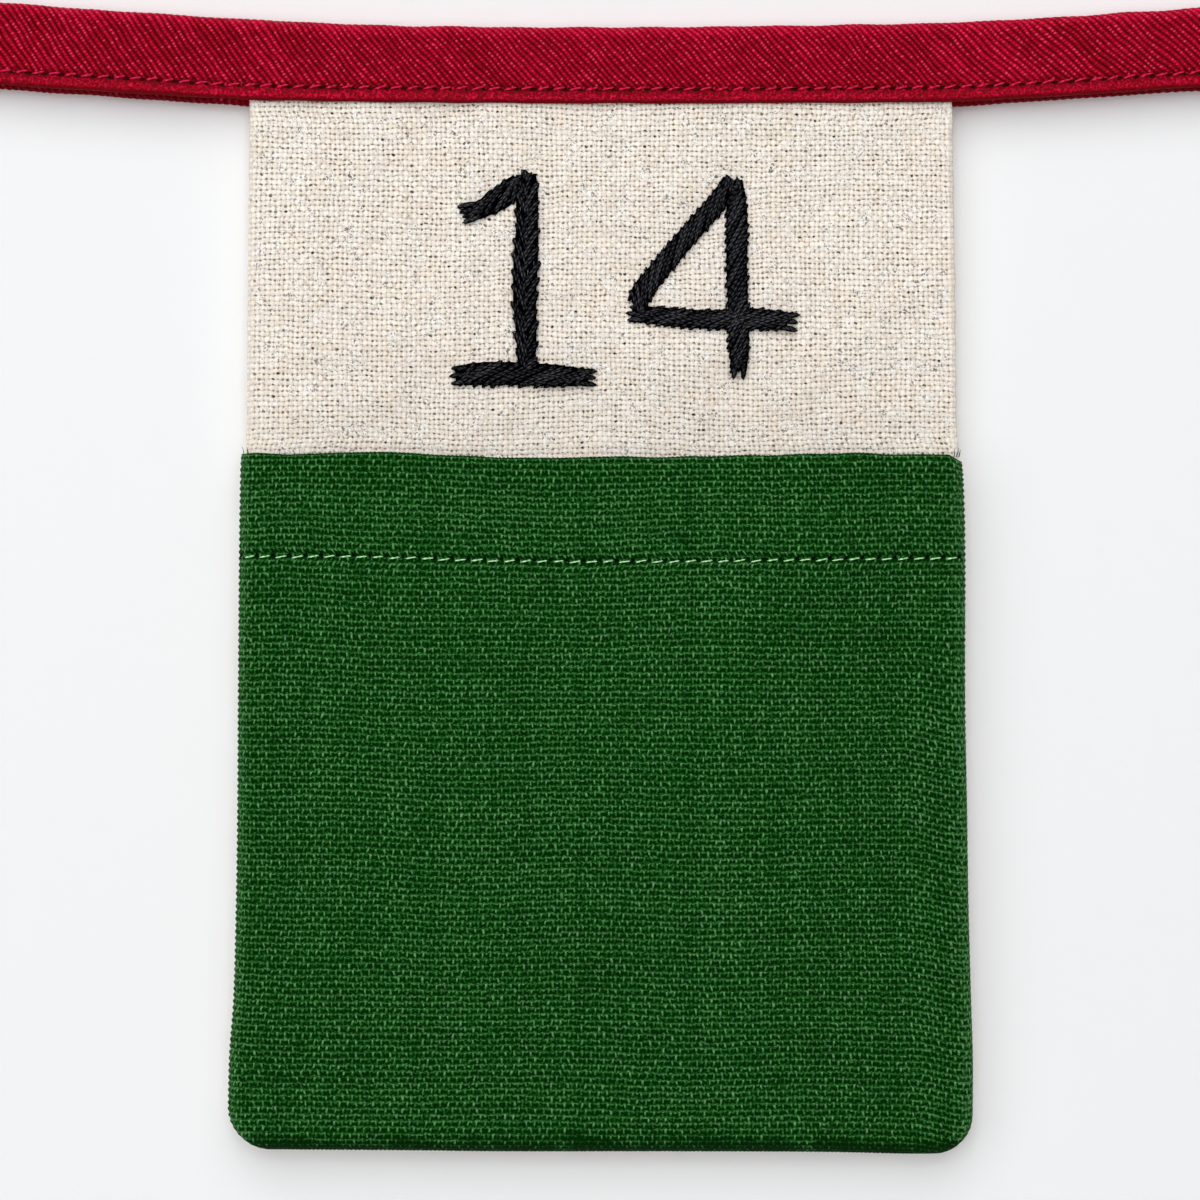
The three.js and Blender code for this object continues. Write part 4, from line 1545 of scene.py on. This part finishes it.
def make_pocket(settings, stitches):
    """The pocket front: woven face, rounded edges, folded mouth and hem."""
    relief = settings.relief / MM
    per_warp = 2
    per_weft = 2
    hem_outer = POCKET_THICK + AIR
    hem_inner = 2 * POCKET_THICK + AIR
    shares = np.linspace(0, 1, POCKET_WARPS * per_warp + 1)
    rises = np.linspace(0, 1, POCKET_WEFTS * per_weft + 1)
    face = pocket_rows(shares, rises, 0)
    fold = pocket_fold(shares, 0, hem_inner, 9)
    points = np.concatenate([face, fold[:, 1:]], axis=1)
    x, z = points[..., 0], points[..., 2]
    left, right = pocket_left(z), pocket_right(z)
    whole = right - left + 2 * ROLL_SPARE
    near_left = length_of(np.maximum(x - left, 0))
    near_right = whole - length_of(np.maximum(right - x, 0))
    u = np.where(x < (left + right) / 2, near_left, near_right) / whole * POCKET_WARPS
    v = np.arange(points.shape[1])[None, :] / per_weft
    line = hem_stitch_line(x)
    inner = between_sides(x, z, 0, 9) * smooth(0, 9, z - pocket_foot(x))
    # Where the rounded corners squeeze the columns, the woven relief would be ragged.
    aligned = smooth(-LEFT_FOOT, -LEFT_FOOT - CORNER_LEFT, -z)
    aligned = np.maximum(aligned, smooth(8, EDGE_ZONE, np.minimum(x - left, right - x)))
    clear = between_sides(x, z, 0.3, 3)
    drooping = smooth(10, 0, right - x) * smooth(-85, -112, z)
    drawn = 1 - smooth(0, 1.3, np.abs(z - line))
    # The stitches push the warps aside, and the rows droop towards the lower right edge.
    u = u - 0.9 * drawn * clear
    v = v + 1.7 * drooping
    height = relief * (plain_weave_height(u, v) - 0.6) * mix(0.35, 1, aligned)
    height -= stitch_dimples(x, z, line, stitches.pitch / MM, 0.22, 0.34) * clear
    height += pocket_swing(x, z)
    sway_x = 0.25 * wander(x, z, 34, 33) * inner + 0.05 * wander(x, z, 4, 34) * inner
    sway_z = 0.22 * wander(x, z, 44, 35) * inner + 0.07 * wander(x, z, 4.5, 36) * inner
    points = points + squares_to(points, (0, -1, 0)) * height[..., None]
    bumps = 0.14 * np.sin(math.pi * v) ** 2 * smooth(0, 3, pocket_mouth(x) - z)
    sway_x += bumps * (smooth(2, 0, right - x) - smooth(2, 0, x - left))
    points[..., 0] += sway_x
    points[..., 2] += sway_z * smooth(0, 6, pocket_mouth(x) - z)
    x, z = points[..., 0], points[..., 2]
    seams = joined(x / (stitches.pitch / MM), z - hem_stitch_line(x))
    # Edge mark: painted shade on the rounded bottom edge and painted light beside the rounded sides.
    low = smooth(3.2, 0.4, z - pocket_foot(x) + 0.6 * wander(x, z, 5, 37))
    edge = mix(-0.7 * smooth(2.6, 0.2, inside_distance(x, z, 0)), 1, low)

    cloth = Cloth()
    outside = cloth.add(points, joined(u, v), seams, edge)
    cloth.grid(outside)
    coarse = np.concatenate([
        np.linspace(0, 0.04, 6)[:-1], np.linspace(0.04, 0.96, 44), np.linspace(0.96, 1, 6)[1:]
    ])
    low = np.concatenate([np.linspace(0, 0.045, 7)[:-1], np.linspace(0.045, 1, 22)])
    patches = [
        pocket_hem(coarse, hem_inner, 7),
        pocket_hem(coarse, hem_outer, 7)[:, ::-1],
        pocket_fold(coarse, POCKET_THICK, hem_outer, 4)[:, ::-1][:, 1:-1],
        pocket_rows(coarse, low, POCKET_THICK)[:, ::-1],
    ]
    counts = [patch.shape[1] for patch in patches]
    hidden_points = np.concatenate(patches, axis=1)
    warp = (float(right.max()) - float(left.min())) / POCKET_WARPS
    weft = settings.weft_pitch / MM
    hidden_threads = joined(hidden_points[..., 0] / warp, hidden_points[..., 2] / weft)
    hidden = cloth.add(hidden_points, hidden_threads)
    cloth.grid(hidden)
    cloth.zip(outside[:, -1], hidden[:, 0])
    cloth.zip(outside[:, 0], hidden[:, -1])
    turn_row = len(rises) - 1
    raw, back, folded = np.cumsum(counts)[:3]
    for end in (0, -1):
        cloth.zip(outside[end, : turn_row + 1], hidden[end, folded:][::-1])
        cloth.zip(outside[end, turn_row:], hidden[end, back - 1 : folded + 1][::-1])
        cloth.zip(hidden[end, :raw], hidden[end, raw:back][::-1])
        cloth.faces.append([outside[end, -1], hidden[end, 0], hidden[end, back - 1]])
    for points in cloth.points:
        pull_corner_down(points)
    return cloth.piece("pocket_cloth")


def pull_corner_down(points):
    """Rounds the mouth's right corner, where the seam draws it down a little."""
    x, z = points[:, 0], points[:, 2]
    beside = smooth(2.4, 0, pocket_right(z) - x)
    below = smooth(-5, 0, z - pocket_mouth(x))
    points[:, 2] = z - 0.9 * beside * below


# ---------------------------------------------------------------- embroidered numerals

# Each stroke is a row of places along its middle, with its half width there.
# lay says how its stitches lie: the angle in degrees from the stroke's own direction, and
# whether they meet in the middle like a braid.
STROKES = [
    {
        "name": "one_flag", "lay": 24, "braid": False, "fringe": 4, "rows": table(
            "x z half",
            (-21.5, -29.0, 1.6),
            (-18.2, -28.1, 1.85),
            (-15.5, -26.6, 2.2),
            (-13.3, -24.9, 2.2),
            (-11.6, -23.8, 1.2),
        ),
    },
    {
        "name": "one_stem", "lay": 29, "braid": True, "fringe": 0, "rows": table(
            "x z half",
            (-11.4, -22.2, 0.9),
            (-11.5, -22.8, 1.6),
            (-11.4, -24.6, 2.2),
            (-11.3, -30.0, 2.2),
            (-11.5, -36.0, 2.45),
            (-11.7, -41.0, 2.35),
            (-11.5, -46.5, 2.15),
            (-11.3, -53.6, 1.7),
        ),
    },
    {
        "name": "one_foot", "lay": 29, "braid": False, "fringe": 3, "rows": table(
            "x z half",
            (-23.0, -54.0, 1.7),
            (-18.5, -53.7, 2.3),
            (-12.5, -53.7, 2.3),
            (-6.5, -54.0, 2.15),
            (-0.8, -54.3, 1.5),
        ),
    },
    {
        "name": "four_slope", "lay": 24, "braid": False, "fringe": 0, "rows": table(
            "x z half",
            (20.3, -23.1, 0.9),
            (19.6, -24.6, 1.6),
            (18.2, -27.0, 1.95),
            (13.4, -32.5, 2.0),
            (8.5, -38.4, 2.05),
            (6.2, -41.6, 2.15),
            (5.4, -45.1, 1.6),
        ),
    },
    {
        "name": "four_bar", "lay": 29, "braid": False, "fringe": 3, "rows": table(
            "x z half",
            (4.3, -44.3, 1.5),
            (9.5, -44.8, 1.85),
            (16.5, -45.3, 1.9),
            (24.0, -45.2, 2.1),
            (30.8, -45.75, 1.75),
        ),
    },
    {
        "name": "four_stem", "lay": -26, "braid": False, "fringe": 2, "rows": table(
            "x z half",
            (20.8, -23.1, 0.7),
            (21.0, -24.5, 1.5),
            (21.15, -29.0, 2.1),
            (21.15, -37.0, 2.1),
            (21.4, -45.0, 2.05),
            (21.5, -50.0, 2.0),
            (21.4, -54.5, 1.4),
        ),
    },
]
STITCH_STEP = 1.36  # from one stitch of floss to the next along a stroke
BRAID_STEP = 1.2  # and along a braided one
STRANDS_PER_STITCH = 6
FLOSS_POINTS = 9  # along each strand


def stroke_line(stroke):
    """A stroke's length, and a function that finds a place along it."""
    rows = stroke["rows"]
    middle = np.array([[row["x"], row["z"]] for row in rows], float)
    shares = shares_of(middle)
    placed = [{**row, "share": share} for share, row in zip(shares, rows)]
    curves = [through(placed, "share", column) for column in ("x", "z", "half")]
    length = float(np.linalg.norm(np.diff(middle, axis=0), axis=1).sum())

    def at(share):
        """The stroke's middle, its direction and its half width at a share of its length."""
        here = np.array([curves[0](share), curves[1](share)])
        step = 0.01
        ahead = np.array([curve(np.minimum(share + step, 1)) for curve in curves[:2]])
        behind = np.array([curve(np.maximum(share - step, 0)) for curve in curves[:2]])
        heading = ahead - behind
        return here, heading / np.linalg.norm(heading), float(curves[2](share))

    return length, at


def stitch_ends(stroke, dice):
    """Where each stitch of a stroke goes in and comes out, and how far it swerves between them,
    all as (x, z), in sewing order."""
    length, at = stroke_line(stroke)
    count = round(length / (BRAID_STEP if stroke["braid"] else STITCH_STEP))
    hand = math.copysign(1, stroke["lay"])
    tips = 0.9 if stroke["fringe"] else 0.0
    ends = []

    def place(along, across):
        """A point in the stroke, by millimetres along it and shares of its half width."""
        margin = tips + dice.uniform(0, 0.25)
        here, heading, half = at(min(max(along, margin), length - margin) / length)
        aside = np.array([-heading[1], heading[0]]) * hand
        return here + aside * across * (half * dice.uniform(0.92, 1.06) - 0.28)

    for k in range(count):
        along = (k + 0.5 + dice.uniform(-0.1, 0.1)) * length / count
        half = at(along / length)[2]
        lay = math.radians(abs(stroke["lay"]) + dice.uniform(-6, 6))
        if stroke["braid"]:
            side = 1 if k % 2 else -1
            reach = half * 1.15 / math.tan(lay) / 2
            start, end = place(along - reach, side), place(along + reach, -0.35 * side)
        else:
            reach = min(half / math.tan(lay), 3.4) * 0.88
            start, end = place(along - reach, -1), place(along + reach, 1)
        heading = at(along / length)[1]
        ends.append((start, end, heading * ((end - start) @ heading) * 0.24))
    return ends


def padding(stroke):
    """Long strands under a stroke's stitches, so that no linen shows between them."""
    length, at = stroke_line(stroke)
    t = np.linspace(-1.3, 1.3, FLOSS_POINTS)[:, None]
    lines = []
    for along in np.arange(1.9, length - 1.8, 1.8):
        here, heading, half = at(along / length)
        aside = np.array([-heading[1], heading[0]])
        for across in (-0.84, -0.42, 0, 0.42, 0.84):
            path = here + aside * across * (half - 0.55) + heading * t
            lines.append(np.insert(path, 1, -(PANEL_HALF + 0.3), axis=1))
    return lines


def fringe_ends(stroke, dice):
    """The pointed tips at a stroke's ends, side by side and fanned out a little."""
    length, at = stroke_line(stroke)
    tips = []
    for share in (0.0, 1.0):
        here, _, half = at(share)
        inner, inner_heading, inner_half = at(abs(share - 3.0 / length))
        aside = np.array([-inner_heading[1], inner_heading[0]])
        outwards = (here - inner) / np.linalg.norm(here - inner)
        for k in range(stroke["fringe"]):
            across = mix(-1, 1, (k + 0.5) / stroke["fringe"])
            tip = here + aside * across * (half + 0.1) + outwards * dice.uniform(-0.35, 0.3)
            tips.append((inner + aside * across * inner_half * 0.7, tip))
    return tips


def floss(start, end, lift, wide, dice, swerve=(0.0, 0.0)):
    """The strands of one stitch, twisted a little round each other: each is a centre line and its
    painted shade along that line. With a swerve, the stitch meets its stroke's outline squarely."""
    t = np.linspace(0, 1, FLOSS_POINTS)
    turn = np.sin(math.pi * (t - 0.5)) - (2 * t - 1)
    path = start + (end - start) * t[:, None] + np.array(swerve) * turn[:, None]
    heading = np.gradient(path, axis=0)
    heading /= np.linalg.norm(heading, axis=1, keepdims=True)
    aside = heading[:, ::-1] * [-1, 1]
    spread = wide * (0.8 + 0.2 * np.sin(math.pi * t))
    rise = np.sin(math.pi * t) ** 0.35
    begin = dice.uniform(0, 2 * math.pi)
    twist = dice.uniform(2.2, 3.4)
    bow = dice.uniform(-0.12, 0.12)
    dull = dice.uniform(0.0, 0.35)
    strands = []
    for k in range(STRANDS_PER_STITCH):
        angle = begin + twist * t + 2 * math.pi * k / STRANDS_PER_STITCH
        out = spread * np.cos(angle) + bow * np.sin(math.pi * t)
        tall = 0.8 * spread * np.sin(angle)
        depth = -(PANEL_HALF - 0.1) - rise * (lift + 0.45) - tall * rise
        longer = (dice.uniform(-0.08, 0.08) - 0.42 * np.cos(angle) ** 2) * (2 * t - 1) ** 3
        line = path + heading * longer[:, None] + aside * out[:, None]
        # Painted shade on strands that the twist turns to the bundle's sides and back; dull gives
        # each stitch a random tone.
        shade = 1 - (1 - dull) * np.maximum(np.sin(angle), 0) ** 0.7
        strands.append((joined(line[:, 0], depth, line[:, 1]), shade))
    return strands


def make_numerals(settings):
    """Both numerals in black floss, stitch by stitch, each a bundle of twisted strands."""
    dice = np.random.default_rng(14)
    under = [line for stroke in STROKES for line in padding(stroke)]
    strands = []
    for stroke in STROKES:
        wide = 0.42 if stroke["braid"] else 0.32
        for start, end in fringe_ends(stroke, dice):
            strands += floss(start, end, 0.25, 0.27, dice)
        for order, (start, end, swerve) in enumerate(stitch_ends(stroke, dice)):
            strands += floss(start, end, 0.4 + 0.12 * (order % 2), wide, dice, swerve)
    thickness = np.concatenate([np.full(len(under), 1.8), dice.uniform(0.85, 1.12, len(strands))])
    lines = np.array(under + [line for line, _ in strands])
    # Painted shade: the padding strands are painted dark all over.
    shades = np.array([np.ones(lines.shape[1])] * len(under) + [shade for _, shade in strands])
    taper = np.sin(math.pi * np.linspace(0.1, 0.9, lines.shape[1])) ** 0.35
    radii = settings.strand / MM / 2 * taper[None, :] * thickness[:, None]
    return strand_piece("numeral_floss_14", lines, radii, 5, 1.1, shades)


# ---------------------------------------------------------------- machine stitches


def pocket_surface(x, z):
    """y of the hem's face, just in front of the cloth."""
    return pocket_face(x, z, 0) - pocket_swing(x, hem_stitch_line(x)) - 0.02


def tape_surface(x, z):
    """y of the tape's face, just in front of the cloth."""
    return -tape_levels()[3] - tape_swing(x, z) - 0.06


def machine_stitches(name, places, line, surface, length, tilt, thread, seed):
    """A row of machine stitches: each a short twisted thread that dives in at both ends."""
    dice = np.random.default_rng(seed)
    t = np.linspace(0, 1, 11)
    lines = []
    for x in places:
        reach = length * dice.uniform(0.92, 1.06)
        rise = math.tan(math.radians(tilt + dice.uniform(-3, 3))) * reach
        along = x + (t - 0.5) * reach
        height = line(along) + (t - 0.5) * rise + dice.uniform(-0.06, 0.06)
        arch = np.sin(math.pi * t) ** 0.5
        depth = surface(along, height) + 0.3 - arch * 0.32
        for ply in (0.0, math.pi):
            angle = 2 * math.pi * 0.9 * t + ply + dice.uniform(-0.3, 0.3)
            around = 0.24 * thread / MM * arch
            y, z = depth - around * np.cos(angle), height + around * np.sin(angle)
            lines.append(joined(along, y, z))
    taper = np.sin(math.pi * np.linspace(0.1, 0.9, len(t))) ** 0.3
    return strand_piece(name, np.array(lines), thread / MM / 2 * 0.72 * taper, 6, 0.9)


def stitch_places(first, last, pitch):
    """x of the middle of each stitch between two ends of a seam."""
    return np.arange(math.ceil(first / pitch), math.floor(last / pitch) + 1) * pitch + pitch / 2


def make_hem_stitches(settings):
    """The row of stitches that holds the pocket's hem."""
    ends = float(pocket_left(-82)) - 0.3, float(pocket_right(-82)) - 2.2
    places = stitch_places(*ends, settings.pitch / MM)
    return machine_stitches(
        "hem_stitches", places, hem_stitch_line, pocket_surface, 1.72, 9, settings.hem_thread, 41
    )


def make_tape_stitches(settings):
    """The row of stitches that closes the tape."""
    places = stitch_places(-112, 111, settings.pitch / MM)
    return machine_stitches(
        "tape_stitches", places, tape_stitch_line, tape_surface, 1.8, 13, settings.tape_thread, 42
    )


# ---------------------------------------------------------------- loose fibres


def make_fibres():
    """A few thread ends that stand out at the pocket's corners and along its mouth."""
    dice = np.random.default_rng(51)
    t = np.linspace(0, 1, 6)
    lines = []
    for side, tips in ((-1, 3), (1, 4)):
        for _ in range(tips):
            x = (55.0 if side > 0 else -54.6) + dice.uniform(-0.5, 0.4)
            z = float(pocket_mouth(x)) - 0.2
            reach = dice.uniform(0.7, 1.5)
            lean = dice.uniform(-0.35, 0.35) + 0.25 * side
            curl = 0.12 * np.sin(3 * t + side)
            lines.append(joined(x + reach * lean * t + curl, POCKET_RIM - 0.9, z + reach * t))
    for _ in range(26):
        x = dice.uniform(-53, 53)
        z = float(pocket_mouth(x)) - 0.35
        depth = float(pocket_face(x, z, 0)) + dice.uniform(0.1, 0.8)
        lean = dice.uniform(-0.5, 0.5)
        reach = dice.uniform(0.25, 0.5)
        lines.append(joined(x + reach * lean * t, depth - 0.1 * t, z + 0.2 + reach * t))
    radii = 0.075 * np.linspace(1, 0.35, len(t))
    return strand_piece("pocket_fibres", np.array(lines), radii, 4, 1.0)


# ---------------------------------------------------------------- operators


class BuntingPiece:
    """What the operators share: dressing a new piece and setting it on the frame."""

    bl_options = {"REGISTER", "UNDO"}

    def dress(self, piece, material, slot):
        piece.data.materials.append(material)
        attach(piece, "root")
        return piece


class OBJECT_OT_bunting_tape(BuntingPiece, bpy.types.Operator):
    """Makes the folded twill tape that the pocket hangs from"""

    bl_idname = "object.bunting_tape"
    bl_label = "Make Tape"

    def execute(self, context):
        bpy.ops.object.select_all(action="DESELECT")
        settings = context.scene.bunting_tape
        piece = make_tape(settings, context.scene.bunting_stitches)
        self.dress(piece, tape_twill(settings), "tape_twill")
        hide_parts("binding_tape")
        return {"FINISHED"}


class OBJECT_OT_bunting_panel(BuntingPiece, bpy.types.Operator):
    """Makes the linen panel with its turned side edges"""

    bl_idname = "object.bunting_panel"
    bl_label = "Make Panel"

    def execute(self, context):
        bpy.ops.object.select_all(action="DESELECT")
        settings = context.scene.bunting_panel
        piece = make_panel(settings)
        self.dress(piece, panel_linen(settings), "panel_linen")
        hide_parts("back_panel")
        return {"FINISHED"}


class OBJECT_OT_bunting_pocket(BuntingPiece, bpy.types.Operator):
    """Makes the canvas pocket front with its hemmed mouth"""

    bl_idname = "object.bunting_pocket"
    bl_label = "Make Pocket"

    def execute(self, context):
        bpy.ops.object.select_all(action="DESELECT")
        settings = context.scene.bunting_pocket
        canvas = pocket_canvas(settings)
        piece = make_pocket(settings, context.scene.bunting_stitches)
        self.dress(piece, canvas, "pocket_canvas")
        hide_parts("pocket_front")
        self.dress(make_fibres(), canvas, "pocket_canvas")
        return {"FINISHED"}


class OBJECT_OT_bunting_numerals(BuntingPiece, bpy.types.Operator):
    """Embroiders the number on the panel"""

    bl_idname = "object.bunting_numerals"
    bl_label = "Make Numerals"

    def execute(self, context):
        bpy.ops.object.select_all(action="DESELECT")
        settings = context.scene.bunting_numerals
        black = strand_material(
            "numeral_floss", settings.black, settings.sheen, 0.36, 1.0, painted_side_shade=0.9, wound=0.32
        )
        self.dress(make_numerals(settings), black, "numeral_floss")
        return {"FINISHED"}


class OBJECT_OT_bunting_stitches(BuntingPiece, bpy.types.Operator):
    """Sews the stitch lines of the hem and the tape"""

    bl_idname = "object.bunting_stitches"
    bl_label = "Make Stitches"

    def execute(self, context):
        bpy.ops.object.select_all(action="DESELECT")
        settings = context.scene.bunting_stitches
        green = strand_material("hem_thread", settings.green_dark, settings.green, 0.5, 1.0)
        self.dress(make_hem_stitches(settings), green, "hem_thread")
        red = strand_material("tape_thread", settings.red_dark, settings.red, 0.5, 1.0)
        self.dress(make_tape_stitches(settings), red, "tape_thread")
        return {"FINISHED"}


class OBJECT_OT_bunting_stage(bpy.types.Operator):
    """Sets up the paper backdrop, the lights and the camera"""

    bl_idname = "object.bunting_stage"
    bl_label = "Make Stage"
    bl_options = {"REGISTER", "UNDO"}

    def execute(self, context):
        bpy.ops.object.select_all(action="DESELECT")
        settings = context.scene.bunting_stage
        make_backdrop(settings)
        make_lights()
        make_camera(settings)
        return {"FINISHED"}


PAPER_WIDTH = 4.0  # the backdrop's sizes are in metres
PAPER_SWEEP = 0.12  # radius of its bend from wall to floor
PAPER_FLOOR = 0.4  # how far it then runs forward
PAPER_BENDS = 12  # flat strips in the bend
VIEW_HEIGHT = -88.7 * MM  # the camera looks at this height


def make_backdrop(settings):
    """Paper that hangs behind the bunting and sweeps forward into the floor."""
    wall = CAD_HIGH.y + settings.wall_gap
    floor = -settings.drop
    place = (0, wall, floor + PAPER_WIDTH / 2)
    bpy.ops.mesh.primitive_plane_add(size=PAPER_WIDTH, location=place, rotation=(math.pi / 2, 0, 0))
    paper = bpy.context.object
    paper.name = "stage_paper"
    bpy.ops.object.transform_apply(location=True, rotation=True, scale=True)
    bpy.ops.object.mode_set(mode="EDIT")
    bpy.ops.mesh.select_mode(type="VERT")
    bpy.ops.mesh.select_all(action="DESELECT")
    bpy.ops.object.mode_set(mode="OBJECT")
    for vertex in paper.data.vertices:
        vertex.select = vertex.co.z < floor + 0.1
    bpy.ops.object.mode_set(mode="EDIT")
    bpy.ops.mesh.select_mode(type="EDGE")
    bpy.ops.transform.translate(value=(0, 0, PAPER_SWEEP))
    turns = np.linspace(0, math.pi / 2, PAPER_BENDS + 1)
    forward, down = PAPER_SWEEP * np.diff(np.cos(turns)), -PAPER_SWEEP * np.diff(np.sin(turns))
    for step in [*zip(0 * forward, forward, down), (0, -PAPER_FLOOR, 0)]:
        bpy.ops.mesh.extrude_region_move(TRANSFORM_OT_translate={"value": step})
    bpy.ops.mesh.select_all(action="SELECT")
    bpy.ops.mesh.normals_make_consistent(inside=False)
    bpy.ops.object.mode_set(mode="OBJECT")
    wall_face = max(paper.data.polygons, key=lambda face: face.center.z)
    if wall_face.normal.y > 0:
        paper.data.flip_normals()
    paper.data.polygons.foreach_set("use_smooth", np.ones(len(paper.data.polygons), bool))
    paper.data.materials.append(stage_paper())
    paper.select_set(False)


def make_light(name, place, aim, size, watts):
    """A square white light that faces a point."""
    light = bpy.data.lights.new(name, "AREA")
    light.size = size
    light.energy = watts
    lamp = bpy.data.objects.new(name, light)
    bpy.context.scene.collection.objects.link(lamp)
    lamp.location = place
    heading = Vector(aim) - Vector(place)
    lamp.rotation_euler = heading.to_track_quat("-Z", "Y").to_euler()


LIGHTS = table(
    "name x y z size watts",
    ("key", -0.6, -1.2, 1.111, 1.4, 9.96),
    ("key_right", 0.3, -1.2, 0.911, 1.2, 8.03),
    ("front", 0, -1.2, 0.011, 0.8, 5.3),
    ("left", -1.0, -1.2, VIEW_HEIGHT, 1.2, 6.6),
    ("right", 1.0, -1.2, VIEW_HEIGHT, 1.2, 2.3),
    ("back", -0.7, 1.1, 0.5, 0.9, 8.0),
)


def make_lights():
    """Five broad soft lights from above and from the sides, a weak one behind, and pale air."""
    centre = (CAD_LOW + CAD_HIGH) / 2
    aim = (centre.x, centre.y, VIEW_HEIGHT)
    for light in LIGHTS:
        place = (light["x"], light["y"], light["z"])
        make_light(light["name"], place, aim, light["size"], light["watts"])
    # The air looks nearly white to the camera and lights the cloth hardly at all.
    world = bpy.data.worlds.new("studio_air")
    world.use_nodes = True
    tree = world.node_tree
    seen = Wire(tree, new_node(tree, "ShaderNodeLightPath").outputs["Is Camera Ray"])
    air = blend(seen, (0.02, 0.02, 0.02), (0.9, 0.9, 0.905))
    plug(tree, air, tree.nodes["Background"].inputs["Color"])
    bpy.context.scene.world = world
    shown = bpy.context.scene.view_settings
    shown.view_transform = "Standard"
    shown.look = "None"
    shown.exposure = 0
    shown.gamma = 1


def make_camera(settings):
    """A long lens straight in front of the cloth, square to it."""
    camera = bpy.data.cameras.new("camera")
    camera.lens = settings.lens
    camera.sensor_width = 36
    distance = settings.view_width * camera.lens / camera.sensor_width
    holder = bpy.data.objects.new("camera", camera)
    bpy.context.scene.collection.objects.link(holder)
    holder.location = (0, -distance, VIEW_HEIGHT)
    holder.rotation_euler = (math.pi / 2, 0, 0)
    camera.clip_start, camera.clip_end = 0.01, 20
    bpy.context.scene.camera = holder


class VIEW3D_PT_bunting(bpy.types.Panel):
    """The bunting's pieces and their settings"""

    bl_label = "Advent Calendar Bunting"
    bl_idname = "VIEW3D_PT_bunting"
    bl_space_type = "VIEW_3D"
    bl_region_type = "UI"
    bl_category = "Bunting"

    def draw(self, context):
        for section in SECTIONS:
            box = self.layout.box()
            box.label(text=section["label"])
            settings = getattr(context.scene, section["owner"])
            for name in settings.__annotations__:
                box.prop(settings, name)
            box.operator(section["operator"].bl_idname)


SECTIONS = table(
    "label owner settings operator",
    ("Tape", "bunting_tape", BuntingTapeSettings, OBJECT_OT_bunting_tape),
    ("Panel", "bunting_panel", BuntingPanelSettings, OBJECT_OT_bunting_panel),
    ("Pocket", "bunting_pocket", BuntingPocketSettings, OBJECT_OT_bunting_pocket),
    ("Numerals", "bunting_numerals", BuntingNumeralSettings, OBJECT_OT_bunting_numerals),
    ("Stitches", "bunting_stitches", BuntingStitchSettings, OBJECT_OT_bunting_stitches),
    ("Stage", "bunting_stage", BuntingStageSettings, OBJECT_OT_bunting_stage),
)


def register():
    """Adds the settings to every scene, and the operators and the panel to Blender."""
    for section in SECTIONS:
        kind = section["settings"]
        bpy.utils.register_class(kind)
        setattr(bpy.types.Scene, section["owner"], bpy.props.PointerProperty(type=kind))
        bpy.utils.register_class(section["operator"])
    bpy.utils.register_class(VIEW3D_PT_bunting)


def unregister():
    """Takes away what register added."""
    bpy.utils.unregister_class(VIEW3D_PT_bunting)
    for section in reversed(SECTIONS):
        bpy.utils.unregister_class(section["operator"])
        delattr(bpy.types.Scene, section["owner"])
        bpy.utils.unregister_class(section["settings"])


def main():
    """Makes every piece and the stage."""
    register()
    for section in SECTIONS:
        group, action = section["operator"].bl_idname.split(".")
        getattr(getattr(bpy.ops, group), action)()


if __name__ == "__main__":
    main()
